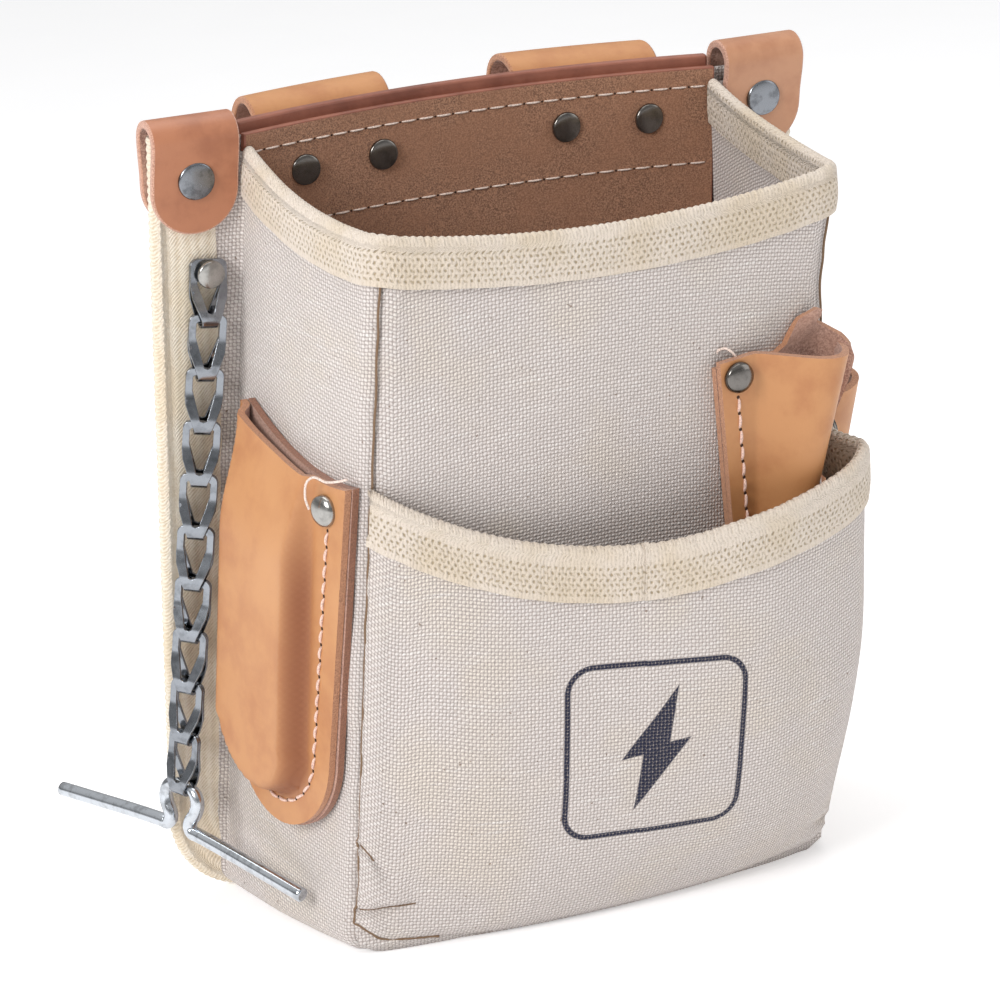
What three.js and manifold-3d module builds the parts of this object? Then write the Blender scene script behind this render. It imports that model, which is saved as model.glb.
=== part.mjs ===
// Electrician tool pouch of canvas and leather, with a tape chain and its toggle.
// Millimetres. +X is to the wearer's left as seen from the front, the front faces -Y, +Z is up.
// The origin is the middle of the flat bottom. The back leans forward over the bottom, so the pieces are
// drawn with the back upright and the whole pouch is then turned to stand on its bottom.
import * as THREE from "three";
import * as BufferGeometryUtils from "three/addons/utils/BufferGeometryUtils.js";
import Module from "manifold-3d";

const wasm = await Module();
wasm.setup();

// ---------------------------------------------------------------- driving dimensions
const GAP = 0.3;                      // between pieces that touch
const LAYER_GAP = 0.5;                // between the bowed layers of the back
const CANVAS = 2.0;                   // canvas thickness, with its lining
const LEATHER = 2.2;
const TAPE = 1.1;

const LEAN = THREE.MathUtils.degToRad(7.5);   // of the back, forward over the bottom
const BACK_TOP = 234;                 // top edge of the leather back
const BACK_Y = 37;                    // inner face of the leather back at its sides
const BACK_BOW = 9.5;                 // how far the back bows out at its top middle
const BACK_BOW_POWER = 1.2;           // the bow grows this way with height
const BACK_HALF_WIDTH = 79;           // of the leather back
const BACK_CORNER = 22;               // radius of the leather back's lower corners
const FLANGE_HALF_WIDTH = 105.5;      // over the canvas flanges
const FLANGE_CORNER = 26;             // radius of the flanges' lower corners
const FLANGE_BINDING_WIDTH = 18;
const REINFORCEMENT_HEIGHT = 42;      // of the leather strip behind the belt loops
const LEATHER_LOW = 14;               // lower edge of the leather back

const REAR_HALF_BOTTOM = 91;          // half width of the body where it meets the back
const REAR_HALF_TOP = 79;
const FRONT_HALF_BOTTOM = 82;         // half width of the body at the front
const FRONT_HALF_TOP = 73.5;
const SIDE_BULGE = 2;
const FRONT_Y_BOTTOM = -36;           // front face at its corners
const FRONT_Y_TOP = -41;
const FRONT_DROP = 2.5;               // the front corners reach this far below the drawing's zero
const FRONT_BOW_BOTTOM = 11;          // extra at the middle of the front
const FRONT_BOW_TOP = 5;
const BODY_CORNER = 7;                // radius between each side and the bottom
const EDGE_CLEARANCE = 0.5;           // the bottom edges of the panels stand this far off the ground
const RIM_FRONT_CORNER = 221;         // height of the rim at the front corners
const RIM_SIDE_SAG = 8.5;             // the rim falls by this away from the front corners
const RIM_SIDE_RISE = 14.5;           // and climbs by this towards the back
const RIM_FRONT_DIP = 5.4;            // how much lower the rim is at the middle of the front
const RIM_BINDING_HEIGHT = 13;

const POCKET_TOP_CORNER = 145;        // front pocket's top edge at its ends
const POCKET_TOP_DIP = 22;            // how much lower the edge is at its middle
const POCKET_BULGE = 12;              // how far the pocket stands out from the front
const POCKET_BULGE_SKEW = 9;          // extra bulge towards the right end
const POCKET_LEFT_POWER = 2.4;        // how roundly the bulge dies away at the left end
const POCKET_RIGHT_POWER = 7;         // and at the right end
const POCKET_FILL_POWER = 2.5;        // and at the lower edge
const POCKET_BINDING_HEIGHT = 15;
const POCKET_STANDOFF = 1.9;          // the least room between the pocket and the front
const POCKET_FULL_HEIGHT = 75;        // the pocket is at its fullest above this
const POCKET_LOW = 0.8;               // its lower edge above the front panel's
const POCKET_FLARE = 12;              // the right end swells out sideways by this

const RIVET_SMALL = 4.8;              // cap radii
const RIVET_LARGE = 6.3;
const RIVET_SHANK = 1.6;
const RIVET_HOLE = 2.0;
const RIVET_DOME = 1.9;
const WASHER = 0.8;                   // thickness of the washer behind
const WASHER_SCALE = 0.8;             // its radius over the cap's
const RIVET_SLACK = 0.7;              // room under a cap on a slanting wall

const TAB_WIDTH = 29;
const TAB_LOW = 204.5;
const TAB_TOP = 239.4;
const TAB_ROUND = 11;                 // radius of its lower corners
const TAB_LEATHER = 2.4;
const TAB_RIVET_Z = 221;
const TAB_CENTRE = 95.3;

const LOOP_WIDTH = 47.5;              // belt loops
const LOOP_SHIFT = -2;                // the straps sit a little off the middle of their rivets
const LOOP_CENTRE = 44.5;
const LOOP_RIVET_SPREAD = 13.5;
const LOOP_RIVET_TOP = 217.7;
const LOOP_RIVET_LOW = 146;
const LOOP_TUNNEL_DEPTH = 17;
const LOOP_TOP = 237;
const LOOP_LOW_END = 134;
const LOOP_TUNNEL_LOW = 160;          // the belt rests here

const KNIFE_REAR = 25;                // rear and front ends of the knife pocket's mouth
const KNIFE_FRONT = -37;
const KNIFE_TOP_REAR = 157;
const KNIFE_TOP_FRONT = 149;
const KNIFE_BULGE = 9;                // how far the moulded part of the knife pocket stands out
const KNIFE_ROUND = 28;               // radius of its lower end
const KNIFE_ROUND_Z = 59;
const KNIFE_ROUND_Y = -4;
const KNIFE_MOULDED_FRONT = -16;      // the moulded part reaches from here to near the rear edge
const KNIFE_HEM = 5;                  // flat border at the rear
const KNIFE_RIVET = { y: -27.5, z: 138 };

const DRIVER_BULGE_TOP = 14;          // depth of the driver sleeve's half cone
const DRIVER_BULGE_LOW = 4;
const DRIVER_TOP = 171;
const DRIVER_LOW = 82;
const DRIVER_RIVET = { x: 43, z: 163 };
const DRIVER_EDGES = { leftTop: 36.6, leftLow: 46, rightLow: 68.5, rightTop: 74.5 };
const DRIVER_CORNER = 4;              // round of its lower corners
const DRIVER_BACKING_TOP = { left: 172, right: 178 };

const SLEEVE_BULGE_TOP = 19;          // the sleeve on the right side
const SLEEVE_BULGE_LOW = 5;
const SLEEVE_TOP = 147;
const SLEEVE_LOW = 64;
const SLEEVE_RIVET = { y: -31, z: 135 };
const SLEEVE_EDGES = { frontTop: -35, frontLow: -20, rearLow: 4, rearTop: 13 };

const degrees = THREE.MathUtils.degToRad;
const CHAIN_LINKS = 10;
const CHAIN_PITCH = 16.5;
const CHAIN_LEAN_OUT = degrees(5.7);  // the chain hangs out and forwards a little
const CHAIN_LEAN_FORWARD = degrees(1.7);
const CHAIN_FIRST_TILT = degrees(8);  // the first link rises back to its rivet
const CHAIN_YAW_FIRST = degrees(-4);
const CHAIN_YAW_LAST = degrees(-64);
const CHAIN_SECOND_TOP = new THREE.Vector3(-93.5, 33.6, 179);
const LINK_STRIP = 0.8;
const LINK_HALF_WIDTH = 5.7;
const LINK_FOLD_HALF_WIDTH = 2.5;
const LINK_FOLD_RADIUS = 2.3;         // inside the fold
const LINK_BAR = 2.2;                 // width of the strip round the eye
const CHAIN_RIVET_CAP = 4.3;
const TOGGLE_YAW = degrees(-69);
const TOGGLE_WIRE = 1.75;             // radius
const TOGGLE_ARM = 53;
const TOGGLE_DROOP = 5;
const TOGGLE_EYE_HALF_WIDTH = 6.6;
const TOGGLE_EYE_HEIGHT = 13.5;

// ---------------------------------------------------------------- materials
const canvas = new THREE.MeshStandardMaterial({ color: 0xded6d0, roughness: 0.95, metalness: 0 });
const tape = new THREE.MeshStandardMaterial({ color: 0xe8dec3, roughness: 0.95, metalness: 0 });
const cottonTape = new THREE.MeshStandardMaterial({ color: 0xd8cfc0, roughness: 0.95, metalness: 0 });
const tanLeather = new THREE.MeshStandardMaterial({ color: 0xe1a56e, roughness: 0.6, metalness: 0 });
const tabLeather = new THREE.MeshStandardMaterial({ color: 0xbe7d55, roughness: 0.6, metalness: 0 });
const brownLeather = new THREE.MeshStandardMaterial({ color: 0x966950, roughness: 0.9, metalness: 0 });
const nickel = new THREE.MeshStandardMaterial({ color: 0x8a8884, roughness: 0.3, metalness: 1 });
const zinc = new THREE.MeshStandardMaterial({ color: 0xb4bac4, roughness: 0.35, metalness: 1 });

const pouch = new THREE.Group();
pouch.name = "electrician_tool_pouch";
const body = new THREE.Group();
body.rotation.x = LEAN;
body.position.z = FRONT_DROP * Math.cos(LEAN) - FRONT_Y_BOTTOM * Math.sin(LEAN);
pouch.add(body);
const lerp = THREE.MathUtils.lerp;
const smoothstep = THREE.MathUtils.smoothstep;

function add(name, geometry, material, parent = body) {
  const mesh = new THREE.Mesh(geometry, material);
  mesh.name = name;
  parent.add(mesh);
  return mesh;
}

// ---------------------------------------------------------------- solids
function signedVolume(geometry) {
  const p = geometry.attributes.position;
  const index = geometry.index;
  const [a, b, c] = [new THREE.Vector3(), new THREE.Vector3(), new THREE.Vector3()];
  let sum = 0;
  for (let i = 0; i < index.count; i += 3) {
    a.fromBufferAttribute(p, index.getX(i));
    b.fromBufferAttribute(p, index.getX(i + 1));
    c.fromBufferAttribute(p, index.getX(i + 2));
    sum += a.dot(b.cross(c));
  }
  return sum / 6;
}

function welded(geometry) {
  const copy = geometry.clone();
  copy.deleteAttribute("normal");
  copy.deleteAttribute("uv");
  const merged = BufferGeometryUtils.mergeVertices(copy, 1e-4);
  if (signedVolume(merged) < 0) {
    const index = merged.index;
    for (let i = 0; i < index.count; i += 3) {
      const first = index.getX(i);
      index.setX(i, index.getX(i + 1));
      index.setX(i + 1, first);
    }
  }
  return merged;
}

// A box of across x up cells whose corners are moved by place(u, v, w); w is 0 and 1 on its two faces.
function bentBox(across, up, place) {
  const geometry = new THREE.BoxGeometry(1, 1, 1, across, 1, up);
  const p = geometry.attributes.position;
  for (let i = 0; i < p.count; i += 1) {
    const point = place(p.getX(i) + 0.5, p.getZ(i) + 0.5, p.getY(i) + 0.5);
    p.setXYZ(i, point.x, point.y, point.z);
  }
  return welded(geometry);
}

function toSolid(geometry) {
  const merged = welded(geometry);
  const mesh = new wasm.Mesh({
    numProp: 3,
    vertProperties: new Float32Array(merged.attributes.position.array),
    triVerts: new Uint32Array(merged.index.array),
  });
  return new wasm.Manifold(mesh);
}

function toGeometry(solid) {
  const mesh = solid.getMesh();
  const geometry = new THREE.BufferGeometry();
  geometry.setAttribute("position", new THREE.BufferAttribute(new Float32Array(mesh.vertProperties), 3));
  geometry.setIndex(new THREE.BufferAttribute(new Uint32Array(mesh.triVerts), 1));
  return geometry;
}

function minus(geometry, tools) {
  return toGeometry(tools.reduce((solid, tool) => solid.subtract(toSolid(tool)), toSolid(geometry)));
}

function common(first, second) {
  return toGeometry(toSolid(first).intersect(toSolid(second)));
}

function joined(first, second) {
  return toGeometry(toSolid(first).add(toSolid(second)));
}

// A flat outline in X and Z, or in Y and Z, pushed through the object to trim a sheet.
function trimAlongY(shape, yFrom, yTo, curveSegments = 3) {
  const block = new THREE.ExtrudeGeometry(shape, { depth: yTo - yFrom, bevelEnabled: false, curveSegments });
  block.rotateX(Math.PI / 2);
  block.translate(0, yTo, 0);
  return block;
}

function trimAlongX(shape, xFrom, xTo, curveSegments = 3) {
  const block = new THREE.ExtrudeGeometry(shape, { depth: xTo - xFrom, bevelEnabled: false, curveSegments });
  block.rotateY(Math.PI / 2);
  block.rotateX(Math.PI / 2);
  block.translate(xFrom, 0, 0);
  return block;
}

// ---------------------------------------------------------------- rivets
function rivetPlacement(point, outward) {
  const turn = new THREE.Quaternion().setFromUnitVectors(new THREE.Vector3(0, 0, 1), outward);
  return new THREE.Matrix4().compose(point, turn, new THREE.Vector3(1, 1, 1));
}

function rivetHole({ point, outward, grip }) {
  const spare = 2;
  const hole = new THREE.CylinderGeometry(RIVET_HOLE, RIVET_HOLE, grip + 2 * spare, 8);
  hole.rotateX(Math.PI / 2);
  hole.translate(0, 0, -grip / 2);
  return hole.applyMatrix4(rivetPlacement(point, outward));
}

// A domed cap, its shank through the layers and a washer behind them.
function addRivet(name, { point, outward, grip, cap }) {
  const edge = 0.5;
  const dome = [0, 0.5, 1].map((step) => new THREE.Vector2(
    cap * Math.sin((step * Math.PI) / 2),
    GAP + edge + (RIVET_DOME - edge) * Math.cos((step * Math.PI) / 2)));
  const washer = -grip - GAP;
  const profile = [
    ...dome,
    new THREE.Vector2(cap, GAP),
    new THREE.Vector2(RIVET_SHANK, GAP),
    new THREE.Vector2(RIVET_SHANK, washer),
    new THREE.Vector2(cap * WASHER_SCALE, washer),
    new THREE.Vector2(cap * WASHER_SCALE, washer - WASHER),
    new THREE.Vector2(0, washer - WASHER),
  ];
  const lathe = new THREE.LatheGeometry(profile, 8);
  lathe.rotateX(Math.PI / 2);
  const mesh = add(name, welded(lathe), nickel);
  mesh.applyMatrix4(rivetPlacement(point, outward));
}

// ---------------------------------------------------------------- body surfaces
// Height of the standing surface under a point, while the back is drawn upright.
const floorZ = (y) => -FRONT_DROP - (y - FRONT_Y_BOTTOM) * Math.tan(LEAN);
const sideDepth = (y) => (y - FRONT_Y_TOP) / (BACK_Y - FRONT_Y_TOP);

function frontHalf(z) {
  return lerp(FRONT_HALF_BOTTOM, FRONT_HALF_TOP, z / RIM_FRONT_CORNER);
}

function frontY(x, z) {
  const high = z / RIM_FRONT_CORNER;
  const across = 1 - (x / frontHalf(z)) ** 2;
  return lerp(FRONT_Y_BOTTOM, FRONT_Y_TOP, high) - lerp(FRONT_BOW_BOTTOM, FRONT_BOW_TOP, high) * across;
}

function sideHalf(y, z) {
  const depth = sideDepth(y);
  const rear = lerp(REAR_HALF_BOTTOM, REAR_HALF_TOP, z / RIM_FRONT_CORNER);
  const bulge = SIDE_BULGE * Math.sin(Math.PI * THREE.MathUtils.clamp(depth, 0, 1));
  return lerp(frontHalf(z), rear, depth) + bulge;
}

function backBow(x, z) {
  const across = Math.max(0, 1 - (x / BACK_HALF_WIDTH) ** 2);
  return BACK_BOW * across * Math.max(z / BACK_TOP, 0) ** BACK_BOW_POWER;
}

function rimSideHeight(y) {
  const depth = sideDepth(y);
  return RIM_FRONT_CORNER - RIM_SIDE_SAG * depth + RIM_SIDE_RISE * depth * depth;
}

function rimFrontHeight(x) {
  return RIM_FRONT_CORNER - RIM_FRONT_DIP * (1 - (x / FRONT_HALF_TOP) ** 2);
}

// Half width left by a round lower corner at a height above the lower edge.
function cornerInset(height, radius) {
  if (height >= radius) return 0;
  return radius - Math.sqrt(radius ** 2 - (radius - height) ** 2);
}

const REAR_Y = BACK_Y - GAP;
const CANVAS_BACK_Y = BACK_Y + LEATHER + LAYER_GAP;
const STRAP_Y = CANVAS_BACK_Y + CANVAS + LAYER_GAP;
const LOOP_Y = STRAP_Y + LEATHER + LAYER_GAP;
const BINDING_FACE = TAPE + GAP;      // how far a folded tape stands out from the sheet inside it
const FLANGE_BOTTOM = floorZ(CANVAS_BACK_Y) + BINDING_FACE + EDGE_CLEARANCE;

// ---------------------------------------------------------------- rivet places
const FORWARD = new THREE.Vector3(0, -1, 0);
const TAB_INNER = CANVAS / 2 + BINDING_FACE + GAP;
const TAB_OUTER = TAB_INNER + TAB_LEATHER;
const FLANGE_MIDDLE_Y = CANVAS_BACK_Y + CANVAS / 2;

function backNormal(x, z) {
  const step = 0.5;
  const slope = (backBow(x + step, z) - backBow(x - step, z)) / (2 * step);
  const climb = (backBow(x, z + step) - backBow(x, z - step)) / (2 * step);
  return new THREE.Vector3(slope, -1, climb).normalize();
}

function loopRivet(side, spread, z, grip) {
  const x = side * LOOP_CENTRE + spread * LOOP_RIVET_SPREAD;
  const point = new THREE.Vector3(x, BACK_Y + backBow(x, z), z);
  return { point, outward: backNormal(x, z), grip, cap: RIVET_SMALL };
}

const LOOP_GRIP_TOP = LOOP_Y + LEATHER - BACK_Y;
const LOOP_GRIP_LOW = STRAP_Y + LEATHER - BACK_Y;
const SIDES = [{ word: "left", side: -1 }, { word: "right", side: 1 }];
const loopRivets = SIDES.flatMap(({ word, side }) => [
  { name: `belt_loop_${word}_rivet_upper_outer`, ...loopRivet(side, side, LOOP_RIVET_TOP, LOOP_GRIP_TOP) },
  { name: `belt_loop_${word}_rivet_upper_inner`, ...loopRivet(side, -side, LOOP_RIVET_TOP, LOOP_GRIP_TOP) },
  { name: `belt_loop_${word}_rivet_lower_outer`, ...loopRivet(side, side, LOOP_RIVET_LOW, LOOP_GRIP_LOW) },
  { name: `belt_loop_${word}_rivet_lower_inner`, ...loopRivet(side, -side, LOOP_RIVET_LOW, LOOP_GRIP_LOW) },
]);
const tabRivets = SIDES.map(({ word, side }) => ({
  name: `corner_tab_${word}_rivet`,
  point: new THREE.Vector3(side * TAB_CENTRE, FLANGE_MIDDLE_Y - TAB_OUTER, TAB_RIVET_Z),
  outward: FORWARD,
  grip: 2 * TAB_OUTER,
  cap: RIVET_LARGE,
}));
const loopHoles = loopRivets.map(rivetHole);
const tabHoles = tabRivets.map(rivetHole);

function sidePoint(side, y, z, offset) {
  return new THREE.Vector3(side * (sideHalf(y, z) + offset), y, z);
}

// 1 between low and high, falling to 0 over a ramp outside them.
function plateau(value, low, high, ramp) {
  return smoothstep(value, low - ramp, low) - smoothstep(value, high, high + ramp);
}

const SKIN = LEATHER + 2 * GAP;       // a pocket's body over its backing stands this far off the canvas

function knifeOffset(y, z) {
  const [ramp, lowFlat, lowFull] = [4, 38, 48];
  const across = plateau(y, KNIFE_MOULDED_FRONT, KNIFE_REAR - KNIFE_HEM, ramp);
  return SKIN + KNIFE_BULGE * across * smoothstep(z, lowFlat, lowFull);
}

const knifeRivet = {
  name: "knife_pocket_rivet",
  point: sidePoint(-1, KNIFE_RIVET.y, KNIFE_RIVET.z,
    knifeOffset(KNIFE_RIVET.y, KNIFE_RIVET.z) + LEATHER + RIVET_SLACK),
  outward: new THREE.Vector3(-1, 0, 0),
  grip: SKIN + LEATHER + CANVAS + 2 * RIVET_SLACK,
  cap: RIVET_SMALL,
};
const knifeHole = rivetHole(knifeRivet);
const driverRivet = {
  name: "driver_sleeve_rivet",
  point: new THREE.Vector3(DRIVER_RIVET.x,
    frontY(DRIVER_RIVET.x, DRIVER_RIVET.z) - SKIN - LEATHER - RIVET_SLACK, DRIVER_RIVET.z),
  outward: FORWARD,
  grip: SKIN + LEATHER + CANVAS + 2 * RIVET_SLACK,
  cap: RIVET_SMALL,
};
const driverHole = rivetHole(driverRivet);
const sleeveRivet = {
  name: "side_sleeve_rivet",
  point: sidePoint(1, SLEEVE_RIVET.y, SLEEVE_RIVET.z, GAP + LEATHER + 2 * RIVET_SLACK),
  outward: new THREE.Vector3(1, 0, 0),
  grip: GAP + LEATHER + CANVAS + 4 * RIVET_SLACK,
  cap: RIVET_SMALL,
};
const sleeveHole = rivetHole(sleeveRivet);

// ---------------------------------------------------------------- chain places
const chain = new THREE.Group();
chain.position.copy(CHAIN_SECOND_TOP);
chain.rotation.set(-CHAIN_LEAN_FORWARD, CHAIN_LEAN_OUT, 0, "YXZ");
body.add(chain);
const firstLink = new THREE.Group();
firstLink.rotation.set(-CHAIN_FIRST_TILT, 0, 0);
chain.add(firstLink);
const EYE_TO_RIVET = LINK_BAR / 2 + GAP + RIVET_SHANK;
pouch.updateMatrixWorld(true);
const chainRivetCentre = body.worldToLocal(
  firstLink.localToWorld(new THREE.Vector3(0, 0, CHAIN_PITCH - EYE_TO_RIVET)));
const CHAIN_RIVET_ROOM = 0.9;         // lets the first link turn under the cap
const CHAIN_RIVET_FRONT = chainRivetCentre.y - LINK_STRIP - CHAIN_RIVET_ROOM;
const chainRivet = {
  name: "chain_rivet",
  point: new THREE.Vector3(chainRivetCentre.x, CHAIN_RIVET_FRONT, chainRivetCentre.z),
  outward: FORWARD,
  grip: FLANGE_MIDDLE_Y + CANVAS / 2 + BINDING_FACE - CHAIN_RIVET_FRONT,
  cap: CHAIN_RIVET_CAP,
};
const chainHole = rivetHole(chainRivet);

// ---------------------------------------------------------------- back
// Every layer of the back is cut from the same bowed sheet, so that the layers nest.
function backColumn(u) {
  const flange = 1 / 12;              // share of the sheet's cells spent on each flange
  const half = FLANGE_HALF_WIDTH + 1;
  if (u < flange) return lerp(-half, -BACK_HALF_WIDTH, u / flange);
  if (u > 1 - flange) return lerp(BACK_HALF_WIDTH, half, (u - 1 + flange) / flange);
  return lerp(-BACK_HALF_WIDTH, BACK_HALF_WIDTH, (u - flange) / (1 - 2 * flange));
}

function backSheet(innerY, thickness) {
  return bentBox(12, 5, (u, v, w) => {
    const [x, z] = [backColumn(u), lerp(FLANGE_BOTTOM - 2, BACK_TOP + 2, v)];
    return new THREE.Vector3(x, innerY + backBow(x, z) + w * thickness, z);
  });
}

function plateOutline(halfWidth, low, high, corner) {
  const shape = new THREE.Shape();
  shape.moveTo(-halfWidth, high);
  shape.lineTo(-halfWidth, low + corner);
  shape.absarc(-halfWidth + corner, low + corner, corner, Math.PI, 1.5 * Math.PI, false);
  shape.absarc(halfWidth - corner, low + corner, corner, 1.5 * Math.PI, 2 * Math.PI, false);
  shape.lineTo(halfWidth, high);
  return shape;
}

function backLayer(innerY, thickness, outline, holes) {
  const trim = trimAlongY(outline, BACK_Y - 5, BACK_Y + 30);
  return minus(common(backSheet(innerY, thickness), trim), holes);
}

add("back_leather_panel", backLayer(BACK_Y, LEATHER,
  plateOutline(BACK_HALF_WIDTH, LEATHER_LOW, BACK_TOP, BACK_CORNER), loopHoles), brownLeather);
add("back_canvas_panel", backLayer(CANVAS_BACK_Y, CANVAS,
  plateOutline(FLANGE_HALF_WIDTH, FLANGE_BOTTOM, BACK_TOP, FLANGE_CORNER),
  [...loopHoles, ...tabHoles, chainHole]), canvas);
add("back_reinforcement", backLayer(STRAP_Y, LEATHER,
  plateOutline(BACK_HALF_WIDTH, BACK_TOP - REINFORCEMENT_HEIGHT, BACK_TOP, 4), loopHoles), tabLeather);

// The tape round the flanges: a folded strip along the left edge, the bottom and the right edge.
function flangePath(u, inward) {
  const half = FLANGE_HALF_WIDTH + TAPE + GAP - inward;
  const low = FLANGE_BOTTOM - TAPE - GAP + inward;
  const corner = Math.max(FLANGE_CORNER + TAPE + GAP - inward, 1);
  const side = u < 0.5 ? -1 : 1;
  const s = u < 0.5 ? u * 2 : (1 - u) * 2;
  const [wallEnd, cornerEnd] = [1 / 3, 10 / 12];
  const top = BACK_TOP + 1;
  if (s <= wallEnd) return { x: side * half, z: lerp(top, low + corner, s / wallEnd) };
  if (s <= cornerEnd) {
    const angle = ((s - wallEnd) / (cornerEnd - wallEnd)) * (Math.PI / 2);
    const x = side * (half - corner + corner * Math.cos(angle));
    return { x, z: low + corner - corner * Math.sin(angle) };
  }
  return { x: side * lerp(half - corner, 0, (s - cornerEnd) / (1 - cornerEnd)), z: low };
}

function flangeBand(inFrom, inTo, yFrom, yTo) {
  return bentBox(24, 1, (u, v, w) => {
    const { x, z } = flangePath(u, lerp(inFrom, inTo, v));
    return new THREE.Vector3(x, lerp(yFrom, yTo, w) + backBow(x, z), z);
  });
}

add("flange_binding", minus(
  flangeBand(0, FLANGE_BINDING_WIDTH, CANVAS_BACK_Y - BINDING_FACE, CANVAS_BACK_Y + CANVAS + BINDING_FACE),
  [flangeBand(TAPE, FLANGE_BINDING_WIDTH + 4, CANVAS_BACK_Y - GAP, CANVAS_BACK_Y + CANVAS + GAP),
    ...tabHoles, chainHole]), cottonTape);

// ---------------------------------------------------------------- gusset and front
// Left side, bottom and right side in one strip; u runs round the strip, v from the back to the front.
function gussetPoint(u, v, inset) {
  const side = u < 0.5 ? -1 : 1;
  const s = u < 0.5 ? u * 2 : (1 - u) * 2;
  const [wallEnd, cornerEnd] = [7 / 14, 10 / 14];
  const radius = BODY_CORNER - inset;
  const frontEdge = (x, z) => frontY(x, z) + CANVAS + GAP;
  if (s <= wallEnd) {
    const bare = lerp(REAR_Y, FRONT_Y_TOP + CANVAS + GAP, v);
    const z = lerp(rimSideHeight(bare), BODY_CORNER + floorZ(bare), s / wallEnd);
    const y = lerp(REAR_Y, frontEdge(frontHalf(z), z), v);
    return new THREE.Vector3(side * (sideHalf(y, z) - inset), y, z);
  }
  if (s <= cornerEnd) {
    const angle = ((s - wallEnd) / (cornerEnd - wallEnd)) * (Math.PI / 2);
    const y = lerp(REAR_Y, frontEdge(frontHalf(BODY_CORNER), BODY_CORNER), v);
    const centre = BODY_CORNER + floorZ(y);
    const x = sideHalf(y, centre) - BODY_CORNER + radius * Math.cos(angle);
    return new THREE.Vector3(side * x, y, centre - radius * Math.sin(angle));
  }
  const across = 1 - (s - cornerEnd) / (1 - cornerEnd);
  const x = side * across * (frontHalf(BODY_CORNER) - BODY_CORNER);
  const y = lerp(REAR_Y, frontEdge(x, 0), v);
  const flatHalf = sideHalf(y, BODY_CORNER + floorZ(y)) - BODY_CORNER;
  return new THREE.Vector3(side * across * flatHalf, y, floorZ(y) + inset);
}

add("side_gusset", minus(
  bentBox(28, 4, (u, v, w) => gussetPoint(u, v, w * CANVAS)), [knifeHole, sleeveHole]), canvas);

// The lower edge of a front sheet follows the ground under the bowed front.
function sheetLow(column) {
  const x = column * FRONT_HALF_BOTTOM;
  return floorZ(frontY(x, 0)) + EDGE_CLEARANCE;
}

function sheetHalf(column, z) {
  return frontHalf(z) - cornerInset(Math.max(z - sheetLow(column), 0), BODY_CORNER);
}

function frontSheetPoint(column, z, depth) {
  const x = column * sheetHalf(column, z);
  return new THREE.Vector3(x, frontY(x, z) + depth, z);
}

const frontPanelSheet = bentBox(8, 6, (u, v, w) => {
  const column = lerp(-1, 1, u);
  const z = lerp(sheetLow(column), rimFrontHeight(column * FRONT_HALF_TOP), v ** 1.3);
  return frontSheetPoint(column, z, w * CANVAS);
});
add("front_panel", minus(frontPanelSheet, [driverHole]), canvas);

// The walls' top edge in plan: left side, front and right side, moved out by an offset.
function rimPoint(u, drop, offset) {
  const s = u * 3;
  const side = s < 1.5 ? -1 : 1;
  if (s < 1 || s > 2) {
    const depth = s < 1 ? 1 - s : s - 2;
    const y = lerp(FRONT_Y_TOP - offset, REAR_Y, depth);
    const z = rimSideHeight(Math.max(y, FRONT_Y_TOP)) - drop;
    return new THREE.Vector3(side * (sideHalf(Math.max(y, FRONT_Y_TOP), z) + offset), y, z);
  }
  const x = lerp(-1, 1, s - 1) * (FRONT_HALF_TOP + offset);
  const bare = THREE.MathUtils.clamp(x, -FRONT_HALF_TOP, FRONT_HALF_TOP);
  const z = rimFrontHeight(bare) - drop;
  return new THREE.Vector3(x, frontY(bare, z) - offset, z);
}

function rimBand(top, bottom, outer, inner) {
  return bentBox(24, 1, (u, v, w) => rimPoint(u, lerp(bottom, top, v), lerp(outer, inner, w)));
}

add("rim_binding", minus(
  rimBand(-TAPE - GAP, RIM_BINDING_HEIGHT - TAPE - GAP, BINDING_FACE, -CANVAS - BINDING_FACE),
  [rimBand(-GAP, RIM_BINDING_HEIGHT + 4, GAP, -CANVAS - GAP)]), tape);

// ---------------------------------------------------------------- front pocket
function pocketTop(x) {
  return POCKET_TOP_CORNER - POCKET_TOP_DIP * (1 - (x / frontHalf(POCKET_TOP_CORNER)) ** 2);
}

// How far the pocket's inner face stands off the front panel: fuller at the right, round the sleeve.
function pocketDepth(x, z) {
  const across = x / frontHalf(z);
  const shape = 1 - Math.abs(across) ** (across < 0 ? POCKET_LEFT_POWER : POCKET_RIGHT_POWER);
  const swell = POCKET_BULGE + POCKET_BULGE_SKEW * smoothstep(across, -0.4, 0.7);
  const fill = 1 - (1 - Math.min(z / POCKET_FULL_HEIGHT, 1)) ** POCKET_FILL_POWER;
  return POCKET_STANDOFF + swell * shape * fill;
}

// Columns are closer together at the pocket's ends; the right end swells out past its seam.
const pocketColumn = (u) => -Math.cos(Math.PI * u);

function pocketPlan(column, z) {
  const swollen = smoothstep(column, 0.62, 0.93) - smoothstep(column, 0.93, 1);
  const flare = POCKET_FLARE * swollen * smoothstep(z, -10, 90);
  const x = column * sheetHalf(column, z);
  return new THREE.Vector2(x + flare, frontY(x, z) - pocketDepth(x, z));
}

function pocketPoint(column, z, offset) {
  const step = 0.004;
  const here = pocketPlan(column, z);
  const before = pocketPlan(Math.max(column - step, -1), z);
  const along = pocketPlan(Math.min(column + step, 1), z).sub(before).normalize();
  return new THREE.Vector3(here.x + along.y * offset, here.y - along.x * offset, z);
}

add("front_pocket_panel", bentBox(20, 6, (u, v, w) => {
  const column = pocketColumn(u);
  const top = pocketTop(column * frontHalf(POCKET_TOP_CORNER));
  return pocketPoint(column, lerp(sheetLow(column) + POCKET_LOW, top, v ** 1.2), w * CANVAS);
}), canvas);

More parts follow.
